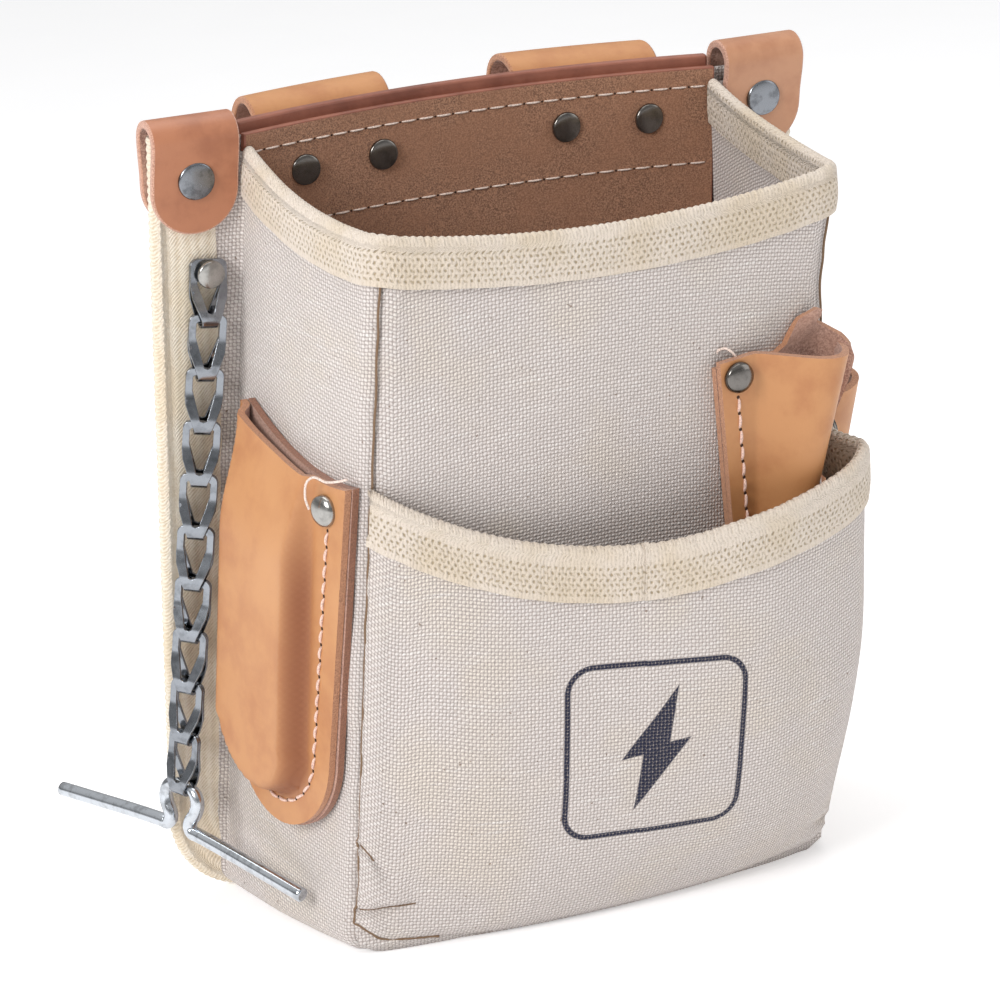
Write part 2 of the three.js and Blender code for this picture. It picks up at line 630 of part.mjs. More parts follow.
function pocketBand(top, bottom, inner, outer) {
  return bentBox(20, 1, (u, v, w) => {
    const column = pocketColumn(u);
    const z = pocketTop(column * frontHalf(POCKET_TOP_CORNER)) - lerp(bottom, top, v);
    return pocketPoint(column, z, lerp(inner, outer, w));
  });
}

add("front_pocket_binding", minus(
  pocketBand(-TAPE - GAP, POCKET_BINDING_HEIGHT, -BINDING_FACE, CANVAS + BINDING_FACE),
  [pocketBand(-GAP, POCKET_BINDING_HEIGHT + 4, -GAP, CANVAS + GAP)]), tape);

// ---------------------------------------------------------------- side and front leather pieces
// A sheet lying on one side of the body, its offset from the canvas given by a function of y and z.
function sideSheet(side, yRange, zRange, cells, offset, thickness) {
  return bentBox(cells[0], cells[1], (u, v, w) => {
    const [y, z] = [lerp(...yRange, u), lerp(...zRange, v)];
    return sidePoint(side, y, z, offset(y, z) + w * thickness);
  });
}

const knifeOutline = new THREE.Shape();
knifeOutline.moveTo(KNIFE_REAR, KNIFE_TOP_REAR);
knifeOutline.lineTo(KNIFE_ROUND_Y + KNIFE_ROUND, KNIFE_ROUND_Z);
knifeOutline.absarc(KNIFE_ROUND_Y, KNIFE_ROUND_Z, KNIFE_ROUND, 0, Math.PI, true);
knifeOutline.lineTo(KNIFE_FRONT, KNIFE_TOP_FRONT);
knifeOutline.quadraticCurveTo(-16, KNIFE_TOP_FRONT - 8, KNIFE_REAR, KNIFE_TOP_REAR);
const knifeTrim = trimAlongX(knifeOutline, -130, -60);
add("knife_pocket_backing", minus(common(
  sideSheet(-1, [-42, 26], [26, 162], [7, 5], () => GAP, LEATHER), knifeTrim), [knifeHole]), tanLeather);
add("knife_pocket_body", minus(common(
  sideSheet(-1, [-42, 26], [26, 162], [14, 8], knifeOffset, LEATHER), knifeTrim), [knifeHole]), tanLeather);

// Half cones: round in plan, tapering downwards.
function coneOffset(along, z, { centreTop, centreLow, radiusTop, radiusLow, bulgeTop, bulgeLow, top, low }) {
  const high = (z - low) / (top - low);
  const from = (along - lerp(centreLow, centreTop, high)) / lerp(radiusLow, radiusTop, high);
  return lerp(bulgeLow, bulgeTop, high) * Math.sqrt(Math.max(0, 1 - from ** 2));
}

const driverCone = {
  centreTop: 60.5, centreLow: 57, radiusTop: 12.5, radiusLow: 7,
  bulgeTop: DRIVER_BULGE_TOP, bulgeLow: DRIVER_BULGE_LOW, top: DRIVER_TOP, low: DRIVER_LOW,
};
function driverSheet(offset, cells, thickness) {
  return bentBox(cells[0], cells[1], (u, v, w) => {
    const [x, z] = [lerp(34, 76, u), lerp(DRIVER_LOW - 4, 182, v)];
    return new THREE.Vector3(x, frontY(x, z) - offset(x, z) - w * thickness, z);
  });
}

function driverOutline(topLeft, topRight) {
  const shape = new THREE.Shape();
  const { leftTop, leftLow, rightLow, rightTop } = DRIVER_EDGES;
  shape.moveTo(leftTop, topLeft);
  shape.lineTo(leftLow, DRIVER_LOW + DRIVER_CORNER);
  shape.quadraticCurveTo(leftLow + 1, DRIVER_LOW, leftLow + 1 + DRIVER_CORNER, DRIVER_LOW);
  shape.lineTo(rightLow - 0.5 - DRIVER_CORNER, DRIVER_LOW);
  shape.quadraticCurveTo(rightLow - 0.5, DRIVER_LOW, rightLow, DRIVER_LOW + DRIVER_CORNER);
  shape.lineTo(rightTop, topRight);
  return trimAlongY(shape, -80, -20);
}

add("driver_sleeve_backing", minus(common(
  driverSheet(() => GAP, [4, 2], LEATHER),
  driverOutline(DRIVER_BACKING_TOP.left, DRIVER_BACKING_TOP.right)), [driverHole]), tanLeather);
add("driver_sleeve_body", minus(common(
  driverSheet((x, z) => SKIN + coneOffset(x, z, driverCone), [20, 3], LEATHER),
  driverOutline(DRIVER_TOP, DRIVER_TOP + 1)), [driverHole]), tanLeather);

const sideCone = {
  centreTop: -12, centreLow: -8, radiusTop: 14, radiusLow: 8,
  bulgeTop: SLEEVE_BULGE_TOP, bulgeLow: SLEEVE_BULGE_LOW, top: SLEEVE_TOP, low: SLEEVE_LOW,
};
const sleeveOutline = new THREE.Shape();
sleeveOutline.moveTo(SLEEVE_EDGES.frontTop, SLEEVE_TOP - 5);
sleeveOutline.lineTo(SLEEVE_EDGES.frontLow, SLEEVE_LOW);
sleeveOutline.lineTo(SLEEVE_EDGES.rearLow, SLEEVE_LOW);
sleeveOutline.lineTo(SLEEVE_EDGES.rearTop, SLEEVE_TOP);
add("side_sleeve_body", minus(common(
  sideSheet(1, [-38, 16], [SLEEVE_LOW - 4, SLEEVE_TOP + 4], [20, 3],
    (y, z) => GAP + coneOffset(y, z, sideCone), LEATHER),
  trimAlongX(sleeveOutline, 60, 130)), [sleeveHole]), tanLeather);

// ---------------------------------------------------------------- corner tabs
const tabCentreZ = TAB_TOP - TAB_OUTER;
function hairpin(outer, inner, low) {
  const shape = new THREE.Shape();
  shape.moveTo(FLANGE_MIDDLE_Y + outer, low);
  shape.absarc(FLANGE_MIDDLE_Y, tabCentreZ, outer, 0, Math.PI, false);
  shape.lineTo(FLANGE_MIDDLE_Y - outer, low);
  shape.lineTo(FLANGE_MIDDLE_Y - inner, low);
  shape.absarc(FLANGE_MIDDLE_Y, tabCentreZ, inner, Math.PI, 0, true);
  shape.lineTo(FLANGE_MIDDLE_Y + inner, low);
  return shape;
}

SIDES.forEach(({ word, side }, index) => {
  const [near, far] = [TAB_CENTRE - TAB_WIDTH / 2, TAB_CENTRE + TAB_WIDTH / 2].map((x) => side * x);
  const [xLow, xHigh] = [Math.min(near, far), Math.max(near, far)];
  const fold = trimAlongX(hairpin(TAB_OUTER, TAB_INNER, TAB_LOW - 2), xLow, xHigh);
  const round = new THREE.Shape();
  round.moveTo(xHigh + 1, TAB_TOP + 1);
  round.lineTo(xLow - 1, TAB_TOP + 1);
  round.lineTo(xLow, TAB_LOW + TAB_ROUND);
  round.absarc(xLow + TAB_ROUND, TAB_LOW + TAB_ROUND, TAB_ROUND, Math.PI, 1.5 * Math.PI, false);
  round.absarc(xHigh - TAB_ROUND, TAB_LOW + TAB_ROUND, TAB_ROUND, 1.5 * Math.PI, 2 * Math.PI, false);
  const leaf = trimAlongY(round, FLANGE_MIDDLE_Y - 10, FLANGE_MIDDLE_Y + 10);
  add(`corner_tab_${word}`, minus(common(fold, leaf), [tabHoles[index]]), tabLeather);
});

// ---------------------------------------------------------------- belt loops
// The strap's inner face, seen from the side: up the back, over the top, down the rear and in again.
function strapLine() {
  const half = LOOP_TUNNEL_DEPTH / 2 + LEATHER;
  const line = new THREE.Path();
  line.moveTo(LOOP_Y, BACK_TOP - REINFORCEMENT_HEIGHT + 4);
  line.lineTo(LOOP_Y, LOOP_TOP - half);
  line.absarc(LOOP_Y + half, LOOP_TOP - half, half, Math.PI, 0, true);
  line.lineTo(LOOP_Y + 2 * half, LOOP_TUNNEL_LOW + 12);
  const low = STRAP_Y + LEATHER;
  line.quadraticCurveTo(LOOP_Y + 2 * half, LOOP_TUNNEL_LOW, low + half, LOOP_TUNNEL_LOW - 2);
  line.quadraticCurveTo(low, LOOP_TUNNEL_LOW - 3, low, LOOP_TUNNEL_LOW - 8);
  line.lineTo(low, LOOP_LOW_END);
  return line.getPoints(3);
}

const strapPoints = strapLine();
SIDES.forEach(({ word, side }) => {
  const strap = bentBox(4, strapPoints.length - 1, (u, v, w) => {
    const index = Math.round(v * (strapPoints.length - 1));
    const [here, before, after] = [strapPoints[index],
      strapPoints[Math.max(index - 1, 0)], strapPoints[Math.min(index + 1, strapPoints.length - 1)]];
    const along = new THREE.Vector2().subVectors(after, before).normalize();
    const inwards = new THREE.Vector2(along.y, -along.x).multiplyScalar(w * LEATHER);
    const x = side * LOOP_CENTRE + LOOP_SHIFT + lerp(-0.5, 0.5, u) * LOOP_WIDTH;
    return new THREE.Vector3(x, here.x + inwards.x + backBow(x, here.y), here.y + inwards.y);
  });
  const holes = loopHoles.filter((hole, index) => loopRivets[index].name.includes(word));
  add(`belt_loop_${word}`, minus(strap, holes), tanLeather);
});

// ---------------------------------------------------------------- rivets
[...tabRivets, ...loopRivets, knifeRivet, driverRivet, sleeveRivet, chainRivet].forEach(
  ({ name, ...place }) => addRivet(name, place));

// ---------------------------------------------------------------- chain
// One link, its top bar at the origin: a strip folded round the next link's bar, both ends pierced
// and laid together as the eye.
function linkGeometry() {
  const outer = LINK_FOLD_RADIUS + LINK_STRIP;
  const side = new THREE.Shape();
  side.moveTo(LINK_STRIP, LINK_BAR / 2);
  side.lineTo(-LINK_STRIP, LINK_BAR / 2);
  side.lineTo(-LINK_STRIP, -0.35 * CHAIN_PITCH);
  side.lineTo(-outer, -CHAIN_PITCH + 1);
  side.absarc(0, -CHAIN_PITCH, outer, Math.PI, 2 * Math.PI, false);
  side.lineTo(outer, -CHAIN_PITCH + 1);
  side.lineTo(LINK_STRIP, -0.35 * CHAIN_PITCH);
  const inside = new THREE.Path();
  inside.moveTo(0, -0.45 * CHAIN_PITCH);
  inside.lineTo(-LINK_FOLD_RADIUS, -CHAIN_PITCH + 1);
  inside.absarc(0, -CHAIN_PITCH, LINK_FOLD_RADIUS, Math.PI, 2 * Math.PI, false);
  inside.lineTo(LINK_FOLD_RADIUS, -CHAIN_PITCH + 1);
  side.holes.push(inside);
  const profile = trimAlongX(side, -LINK_HALF_WIDTH, LINK_HALF_WIDTH, 3);

  const low = -CHAIN_PITCH - outer - 1;
  const face = new THREE.Shape();
  const shoulder = 2.5;
  face.moveTo(-LINK_FOLD_HALF_WIDTH, low);
  face.lineTo(LINK_FOLD_HALF_WIDTH, low);
  face.lineTo(LINK_FOLD_HALF_WIDTH, -0.78 * CHAIN_PITCH);
  face.quadraticCurveTo(LINK_HALF_WIDTH, -0.6 * CHAIN_PITCH, LINK_HALF_WIDTH, -0.35 * CHAIN_PITCH);
  face.lineTo(LINK_HALF_WIDTH, LINK_BAR / 2 - shoulder);
  face.quadraticCurveTo(LINK_HALF_WIDTH, LINK_BAR / 2, LINK_HALF_WIDTH - shoulder, LINK_BAR / 2);
  face.lineTo(-LINK_HALF_WIDTH + shoulder, LINK_BAR / 2);
  face.quadraticCurveTo(-LINK_HALF_WIDTH, LINK_BAR / 2, -LINK_HALF_WIDTH, LINK_BAR / 2 - shoulder);
  face.lineTo(-LINK_HALF_WIDTH, -0.35 * CHAIN_PITCH);
  face.quadraticCurveTo(-LINK_HALF_WIDTH, -0.6 * CHAIN_PITCH, -LINK_FOLD_HALF_WIDTH, -0.78 * CHAIN_PITCH);
  const eye = new THREE.Path();
  const inner = LINK_HALF_WIDTH - LINK_BAR;
  eye.moveTo(-inner, -LINK_BAR / 2);
  eye.lineTo(-inner, -0.33 * CHAIN_PITCH);
  eye.quadraticCurveTo(-inner, -0.52 * CHAIN_PITCH, 0, -0.62 * CHAIN_PITCH);
  eye.quadraticCurveTo(inner, -0.52 * CHAIN_PITCH, inner, -0.33 * CHAIN_PITCH);
  eye.lineTo(inner, -LINK_BAR / 2);
  face.holes.push(eye);
  return common(profile, trimAlongY(face, -outer - 1, outer + 1, 2));
}

const link = linkGeometry();
for (let count = 1; count <= CHAIN_LINKS; count += 1) {
  const name = `chain_link_${String(count).padStart(2, "0")}`;
  const mesh = add(name, link, zinc, count === 1 ? firstLink : chain);
  mesh.position.z = count === 1 ? CHAIN_PITCH : -(count - 2) * CHAIN_PITCH;
  mesh.rotation.z = lerp(CHAIN_YAW_FIRST, CHAIN_YAW_LAST, (count - 1) / (CHAIN_LINKS - 1));
}

// The toggle: one wire bent into an eye over two drooping arms, its ends rounded.
function toggleGeometry() {
  const half = [
    [0, 0], [3, -0.1], [5.6, -1.6], [TOGGLE_EYE_HALF_WIDTH, -5],
    [5, -9.5], [3.4, -12], [5.5, -TOGGLE_EYE_HEIGHT],
    [TOGGLE_ARM * 0.55, -TOGGLE_EYE_HEIGHT - TOGGLE_DROOP * 0.5],
    [TOGGLE_ARM, -TOGGLE_EYE_HEIGHT - TOGGLE_DROOP],
  ];
  const right = half.map(([x, z]) => new THREE.Vector3(x, 0, z));
  const left = half.slice(1).reverse().map(([x, z]) => new THREE.Vector3(-x, 0, z));
  const path = new THREE.CatmullRomCurve3([...left, ...right]);
  const section = new THREE.Shape();
  section.absarc(0, 0, TOGGLE_WIRE, 0, 2 * Math.PI, false);
  const wire = new THREE.ExtrudeGeometry(section, { steps: 40, curveSegments: 4, extrudePath: path });
  return [left[0], right[right.length - 1]].reduce((solid, tip) => {
    const cap = new THREE.SphereGeometry(TOGGLE_WIRE, 8, 6);
    cap.translate(tip.x, tip.y, tip.z);
    return joined(solid, cap);
  }, welded(wire));
}

const toggle = add("chain_toggle", toggleGeometry(), zinc, chain);
toggle.position.z = -(CHAIN_LINKS - 1) * CHAIN_PITCH;
toggle.rotation.z = TOGGLE_YAW;

export default pouch;
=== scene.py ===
"""The looks of an electrician tool pouch: canvas, leather, cotton tape, rivets and chain.

Shapes are drawn in millimetres with the back upright, as in the CAD model, and stand() turns them to
the standing pouch in metres.
"""
import math

import bpy
import numpy as np
from mathutils import Matrix, Vector, geometry, noise


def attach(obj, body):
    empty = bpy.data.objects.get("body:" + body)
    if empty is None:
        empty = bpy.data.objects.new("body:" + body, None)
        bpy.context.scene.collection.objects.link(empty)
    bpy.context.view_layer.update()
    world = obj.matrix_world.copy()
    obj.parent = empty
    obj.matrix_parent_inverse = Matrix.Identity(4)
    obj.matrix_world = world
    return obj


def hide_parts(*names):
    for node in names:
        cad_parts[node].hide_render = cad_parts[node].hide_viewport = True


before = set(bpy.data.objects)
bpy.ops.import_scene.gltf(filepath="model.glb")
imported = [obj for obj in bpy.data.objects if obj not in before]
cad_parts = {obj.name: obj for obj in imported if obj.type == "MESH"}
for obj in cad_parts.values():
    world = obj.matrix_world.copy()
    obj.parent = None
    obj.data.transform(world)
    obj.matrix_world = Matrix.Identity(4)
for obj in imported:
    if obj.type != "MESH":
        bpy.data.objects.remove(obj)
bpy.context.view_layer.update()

# ------------------------------ driving dimensions, as in the CAD model
LEAN = math.radians(7.5)
BACK_TOP = 234
BACK_Y = 37
BACK_BOW = 9.5
BACK_HALF = 79
BACK_CORNER = 22
BACK_LOW = 14
FLANGE_HALF = 105.5
FLANGE_CORNER = 26
FLANGE_TAPE = 18
LEATHER = 2.2
CANVAS = 1.3
TAPE = 0.9
STRAP_HEIGHT = 42
FLANGE_STEP = 2.7
SEW_GAP = 0.3

REAR_HALF_LOW, REAR_HALF_TOP = 91, 79
FRONT_HALF_LOW, FRONT_HALF_TOP = 82, 73.5
SIDE_BULGE = 2
FRONT_Y_LOW, FRONT_Y_TOP = -36, -41
FRONT_DROP = 2.5
FRONT_BOW_LOW, FRONT_BOW_TOP = 11, 5
BODY_CORNER = 7
EDGE_ROUND_LOW, EDGE_ROUND_TOP = 4.5, 9
RIM_HEIGHT = 221
RIGHT_SWELL = 3.2
SWELL_LOW, SWELL_HIGH = 183, 214
RIM_DIP = 5.4
RIM_SAG, RIM_CURVE = 8.5, 14.5
RIM_TAPE = 13
RISE = FRONT_DROP * math.cos(LEAN) - FRONT_Y_LOW * math.sin(LEAN)

POCKET_TOP = 145
POCKET_DIP = 22
POCKET_BULGE = 12
POCKET_SKEW = 9
POCKET_STANDOFF = 1.9
POCKET_FULL = 75
POCKET_FLARE = 10.5
POCKET_DROP = 6.5
POCKET_TAPE = 15

RIVET_SMALL, RIVET_LARGE, RIVET_CHAIN = 4.8, 6.3, 4.3

# ------------------------------ small maths
def lerp(a, b, t):
    return a + (b - a) * t


def smoothstep(x, low, high):
    t = np.clip((x - low) / (high - low), 0, 1)
    return t * t * (3 - 2 * t)


def stack(x, y, z):
    return np.stack(np.broadcast_arrays(x, y, z), -1).astype(float)


def stand(points):
    """Points of the upright drawing, in mm, in the standing pouch's frame, in metres."""
    p = np.array(points, float)
    swell = RIGHT_SWELL * smoothstep(p[..., 2], SWELL_LOW, SWELL_HIGH) * smoothstep(-p[..., 1], -30, 38)
    p[..., 0] += swell * np.clip(p[..., 0] / FRONT_HALF_TOP, 0, 1.1)
    y = p[..., 1] * math.cos(LEAN) - p[..., 2] * math.sin(LEAN)
    z = p[..., 1] * math.sin(LEAN) + p[..., 2] * math.cos(LEAN) + RISE
    return np.stack([p[..., 0], y, z], -1) / 1000


def rough(points, size, seed=0):
    """Smooth noise from -1 to 1 at points in mm; size is the width of its waves."""
    flat = np.asarray(points, float).reshape(-1, 3) / size + seed * 17.3
    values = [noise.noise(Vector(p)) for p in flat]
    return np.array(values).reshape(np.shape(points)[:-1])


def unit(v):
    return v / np.maximum(np.linalg.norm(v, axis=-1, keepdims=True), 1e-9)


# ------------------------------ the pouch's surfaces, in the upright drawing
def floor_z(y):
    return -FRONT_DROP - (y - FRONT_Y_LOW) * math.tan(LEAN)


def front_half(z):
    return lerp(FRONT_HALF_LOW, FRONT_HALF_TOP, z / RIM_HEIGHT)


def front_y(x, z):
    high = z / RIM_HEIGHT
    across = 1 - (x / front_half(z)) ** 2
    return lerp(FRONT_Y_LOW, FRONT_Y_TOP, high) - lerp(FRONT_BOW_LOW, FRONT_BOW_TOP, high) * across


def side_depth(y):
    """0 at the front and 1 at the back."""
    return (y - FRONT_Y_TOP) / (BACK_Y - FRONT_Y_TOP)


def side_half(y, z):
    depth = side_depth(y)
    rear = lerp(REAR_HALF_LOW, REAR_HALF_TOP, z / RIM_HEIGHT)
    return lerp(front_half(z), rear, depth) + SIDE_BULGE * np.sin(np.pi * np.clip(depth, 0, 1))


def back_bow(x, z):
    across = np.maximum(0, 1 - (x / BACK_HALF) ** 2)
    return BACK_BOW * across * np.maximum(z / BACK_TOP, 0) ** 1.2


def rim_side(y):
    depth = side_depth(y)
    return RIM_HEIGHT - RIM_SAG * depth + RIM_CURVE * depth * depth


def rim_front(x):
    return RIM_HEIGHT - RIM_DIP * (1 - (x / FRONT_HALF_TOP) ** 2)


def corner_radius(z):
    """Of the body's upright front corners, which are rounder towards the rim."""
    return lerp(EDGE_ROUND_LOW, EDGE_ROUND_TOP, np.clip(z / RIM_HEIGHT, 0, 1))


def body_plan(u, z):
    """The body's outer face in plan: u from 0 to 1 along the left wall from the back, to 2 round the corner,
    to 3 along the front, and on to 5 along the right wall."""
    u, z = np.broadcast_arrays(np.asarray(u, float), np.asarray(z, float))
    mirrored = u > 2.5
    u = np.where(mirrored, 5 - u, u)
    radius = corner_radius(z)
    y_wall = lerp(FRONT_Y_LOW, FRONT_Y_TOP, z / RIM_HEIGHT) + radius * 0.8
    x_front = front_half(z) - radius
    y = lerp(BACK_Y - 0.3, y_wall, np.clip(u, 0, 1))
    x = side_half(y, z)
    turn = np.clip(u - 1, 0, 1) * np.pi / 2
    x = np.where(u > 1, lerp(x, x_front, 1 - np.cos(turn)), x)
    y = np.where(u > 1, lerp(y_wall, front_y(x_front, z), np.sin(turn)), y)
    x_flat = lerp(x_front, 0, np.clip(u - 2, 0, 0.5) * 2)
    x = np.where(u > 2, x_flat, x)
    y = np.where(u > 2, front_y(x_flat, z), y)
    return np.stack([np.where(mirrored, x, -x), y], -1)


def offset_point(plan, s, low, high, z, offset):
    """A point offset outwards from a face whose plan is plan(s, z), with s from low to high, in mm."""
    step = 0.004
    here = plan(s, z)
    along = unit(plan(np.minimum(s + step, high), z) - plan(np.maximum(s - step, low), z))
    return stack(here[..., 0] + along[..., 1] * offset, here[..., 1] - along[..., 0] * offset, z)


def body_point(u, z, offset=0.0):
    return offset_point(body_plan, u, 0, 5, z, np.asarray(offset, float))


def rim_z(u):
    """Height of the walls' top edge along the plan."""
    u = np.asarray(u, float)
    plan = body_plan(u, RIM_HEIGHT - 5.0)
    at_front = smoothstep(u, 0.9, 2.1) * (1 - smoothstep(u, 2.9, 4.1))
    return lerp(rim_side(plan[..., 1]), rim_front(plan[..., 0]), at_front)


def pocket_top(x):
    across = x / front_half(POCKET_TOP)
    return POCKET_TOP - POCKET_DIP * (1 - across ** 2) - POCKET_DROP * smoothstep(across, 0.3, 1)


def pocket_depth(x, z):
    across = x / front_half(z)
    shape = np.where(across < 0, 1 - np.abs(across) ** 2.4, 1 - np.abs(across) ** 7)
    swell = POCKET_BULGE + POCKET_SKEW * smoothstep(across, -0.4, 0.7)
    fill = 1 - (1 - np.clip(z / POCKET_FULL, 0, 1)) ** 2.5
    return POCKET_STANDOFF + swell * shape * fill


def corner_inset(height):
    """How far the body's rounded lower corner draws in at a height above its floor."""
    height = np.clip(height, 0, BODY_CORNER)
    return BODY_CORNER - np.sqrt(BODY_CORNER ** 2 - (BODY_CORNER - height) ** 2)


def sheet_low(column):
    """The front sheets' lower edge; column runs from -1 to 1 across them."""
    x = column * FRONT_HALF_LOW
    return floor_z(front_y(x, 0)) + 0.5


def sheet_half(column, z):
    return front_half(z) - corner_inset(z - sheet_low(column))


def pocket_plan(column, z):
    swollen = smoothstep(column, 0.62, 0.93) - smoothstep(column, 0.93, 1)
    x = column * sheet_half(column, z)
    flare = POCKET_FLARE * swollen * smoothstep(z, -10, 90)
    return np.stack([x + flare, front_y(x, z) - pocket_depth(x, z)], -1)


# ------------------------------ meshes
def turned_to(vertices, faces, facing):
    """The faces, all reversed if on the whole they look away from a direction."""
    corners = [np.asarray(vertices)[[face[k] for face in faces]] for k in range(3)]
    normals = np.cross(corners[1] - corners[0], corners[2] - corners[0]).sum(0)
    return faces if normals @ np.asarray(facing, float) >= 0 else [tuple(reversed(face)) for face in faces]


def new_object(name, vertices, faces, uv=None, materials=(), indices=None):
    mesh = bpy.data.meshes.new(name)
    mesh.from_pydata([tuple(v) for v in np.asarray(vertices).reshape(-1, 3)], [], faces)
    if uv is not None:
        layer = mesh.uv_layers.new(name="cloth")
        corners = np.zeros(len(mesh.loops), int)
        mesh.loops.foreach_get("vertex_index", corners)
        layer.data.foreach_set("uv", np.asarray(uv, float).reshape(-1, 2)[corners].ravel())
    for material in materials:
        mesh.materials.append(material)
    if indices is not None:
        mesh.polygons.foreach_set("material_index", indices)
    mesh.polygons.foreach_set("use_smooth", [True] * len(mesh.polygons))
    piece = bpy.data.objects.new(name, mesh)
    bpy.context.scene.collection.objects.link(piece)
    return piece


def applied(piece):
    """The piece with its modifiers made part of its mesh."""
    mesh = bpy.data.meshes.new_from_object(piece.evaluated_get(bpy.context.evaluated_depsgraph_get()))
    piece.modifiers.clear()
    piece.data = mesh
    return piece


def arc_lengths(points, axis=0):
    """Length along a path, or along a grid's rows or columns, up to each point."""
    steps = np.linalg.norm(np.diff(points, axis=axis), axis=-1)
    start = np.zeros_like(np.take(steps, [0], axis))
    return np.concatenate([start, np.cumsum(steps, axis)], axis)


def grid_faces(rows, columns, wrap=False):
    last = columns if wrap else columns - 1
    return [(r * columns + c, r * columns + (c + 1) % columns, (r + 1) * columns + (c + 1) % columns,
             (r + 1) * columns + c) for r in range(rows - 1) for c in range(last)]


def cloth(name, points, facing, material, thickness, inner=None, edge_round=0):
    """A sewn sheet through a grid of points [row, column], in mm; its outer face is on the points."""
    across = arc_lengths(points, 1)
    across -= across[:, across.shape[1] // 2][:, None]
    uv = np.stack([across, arc_lengths(points)], -1)
    faces = turned_to(points.reshape(-1, 3), grid_faces(*points.shape[:2]), facing)
    piece = new_object(name, stand(points), faces, uv, [material, material, inner or material])
    return thickened(piece, thickness, edge_round)


def thickened(piece, thickness, edge_round, offset=-1):
    """Gives a sheet its thickness: slot 1 of its materials is for the edge and slot 2 for the inner face."""
    solid = piece.modifiers.new("thickness", "SOLIDIFY")
    solid.thickness = thickness / 1000
    solid.offset = offset
    solid.use_even_offset = False
    if len(piece.data.materials) > 2:
        solid.material_offset_rim = 1
        solid.material_offset = 2
    if edge_round:
        bevel = piece.modifiers.new("edge", "BEVEL")
        bevel.width = edge_round / 1000
        bevel.segments = 2
        bevel.limit_method = "ANGLE"
        bevel.angle_limit = math.radians(50)
        bevel.harden_normals = True
        bevel.material = min(1, len(piece.data.materials) - 1)
    return applied(piece)


def inside(points, outline):
    """Whether each point lies in a closed outline, both flat."""
    x, y = points[:, 0], points[:, 1]
    result = np.zeros(len(points), bool)
    for (x0, y0), (x1, y1) in zip(outline, np.roll(outline, -1, axis=0)):
        crosses = (y0 > y) != (y1 > y)
        with np.errstate(divide="ignore", invalid="ignore"):
            result ^= crosses & (x < (x1 - x0) * (y - y0) / (y1 - y0) + x0)
    return result


def resampled(outline, spacing):
    """A closed outline with a point about every spacing."""
    points = []
    for a, b in zip(outline, np.roll(outline, -1, axis=0)):
        count = max(1, int(round(np.linalg.norm(b - a) / spacing)))
        points += [lerp(a, b, t / count) for t in range(count)]
    return np.array(points)


def cut_sheet(outline, spacing, holes=()):
    """A flat cut sheet as points and triangles: the outline, its holes and a lattice inside."""
    rings = [resampled(np.asarray(ring, float), spacing) for ring in (outline, *holes)]
    low, high = rings[0].min(0), rings[0].max(0)
    a, b = np.meshgrid(np.arange(low[0], high[0], spacing), np.arange(low[1], high[1], spacing))
    a[1::2] += spacing / 2
    lattice = np.stack([a.ravel(), b.ravel()], -1)
    keep = inside(lattice, rings[0])
    for ring in rings:
        near = np.min(np.linalg.norm(lattice[:, None] - ring[None], axis=-1), axis=1)
        keep &= near > spacing * 0.55
    for ring in rings[1:]:
        keep &= ~inside(lattice, ring)
    points, edges = [], []
    for ring in rings:
        start = len(points)
        points += list(ring)
        edges += [(start + i, start + (i + 1) % len(ring)) for i in range(len(ring))]
    points = np.array(points + list(lattice[keep]))
    flat, _, triangles, *_ = geometry.delaunay_2d_cdt([Vector(p) for p in points], edges, [], 0, 1e-4)
    flat = np.array([tuple(p) for p in flat])
    middles = np.array([flat[list(t)].mean(0) for t in triangles])
    keep = inside(middles, rings[0])
    for ring in rings[1:]:
        keep &= ~inside(middles, ring)
    return flat, [tuple(t) for t, wanted in zip(triangles, keep) if wanted]


def leather_sheet(name, outline, place, facing, materials, thickness=LEATHER, spacing=2.0, edge_round=0.5):
    """Leather cut to a flat outline and bent by place(a, b), which gives its outer face in mm."""
    flat, triangles = cut_sheet(outline, spacing)
    bent = place(flat[:, 0], flat[:, 1])
    piece = new_object(name, stand(bent), turned_to(bent, triangles, facing), flat, materials)
    return thickened(piece, thickness, edge_round)


def arc(centre, radius, start, end, steps=12):
    """Points of an arc, its angles in degrees."""
    angles = np.radians(np.linspace(start, end, steps))
    return [(centre[0] + radius * math.cos(t), centre[1] + radius * math.sin(t)) for t in angles]


def swept(points, radius, sides, taper=None):
    """Vertices and faces of a round rod along points in mm, closed at both ends."""
    points = np.asarray(points, float)
    along = unit(np.gradient(points, axis=0))
    first = np.cross(along[0], [0, 0, 1.0] if abs(along[0][2]) < 0.9 else [0, 1.0, 0])
    across = [first / np.linalg.norm(first)]
    for direction in along[1:]:
        across.append(unit(across[-1] - direction * (across[-1] @ direction)))
    across = np.array(across)
    other = np.cross(along, across)
    angles = np.linspace(0, 2 * np.pi, sides, endpoint=False)
    radii = np.full(len(points), radius) if taper is None else radius * np.asarray(taper)
    rings = (points[:, None] + radii[:, None, None] * (np.cos(angles)[None, :, None] * across[:, None]
                                                       + np.sin(angles)[None, :, None] * other[:, None]))
    faces = [tuple(reversed(f)) for f in grid_faces(len(points), sides, wrap=True)]
    last = (len(points) - 1) * sides
    faces += [tuple(range(sides)), tuple(last + i for i in reversed(range(sides)))]
    return rings.reshape(-1, 3), faces


def merged(parts):
    """Several (vertices, faces, material index) as one."""
    vertices, faces, indices = [], [], []
    for part_vertices, part_faces, index in parts:
        start = sum(len(v) for v in vertices)
        vertices.append(part_vertices)
        faces += [tuple(i + start for i in f) for f in part_faces]
        indices += [index] * len(part_faces)
    return np.concatenate(vertices), faces, indices


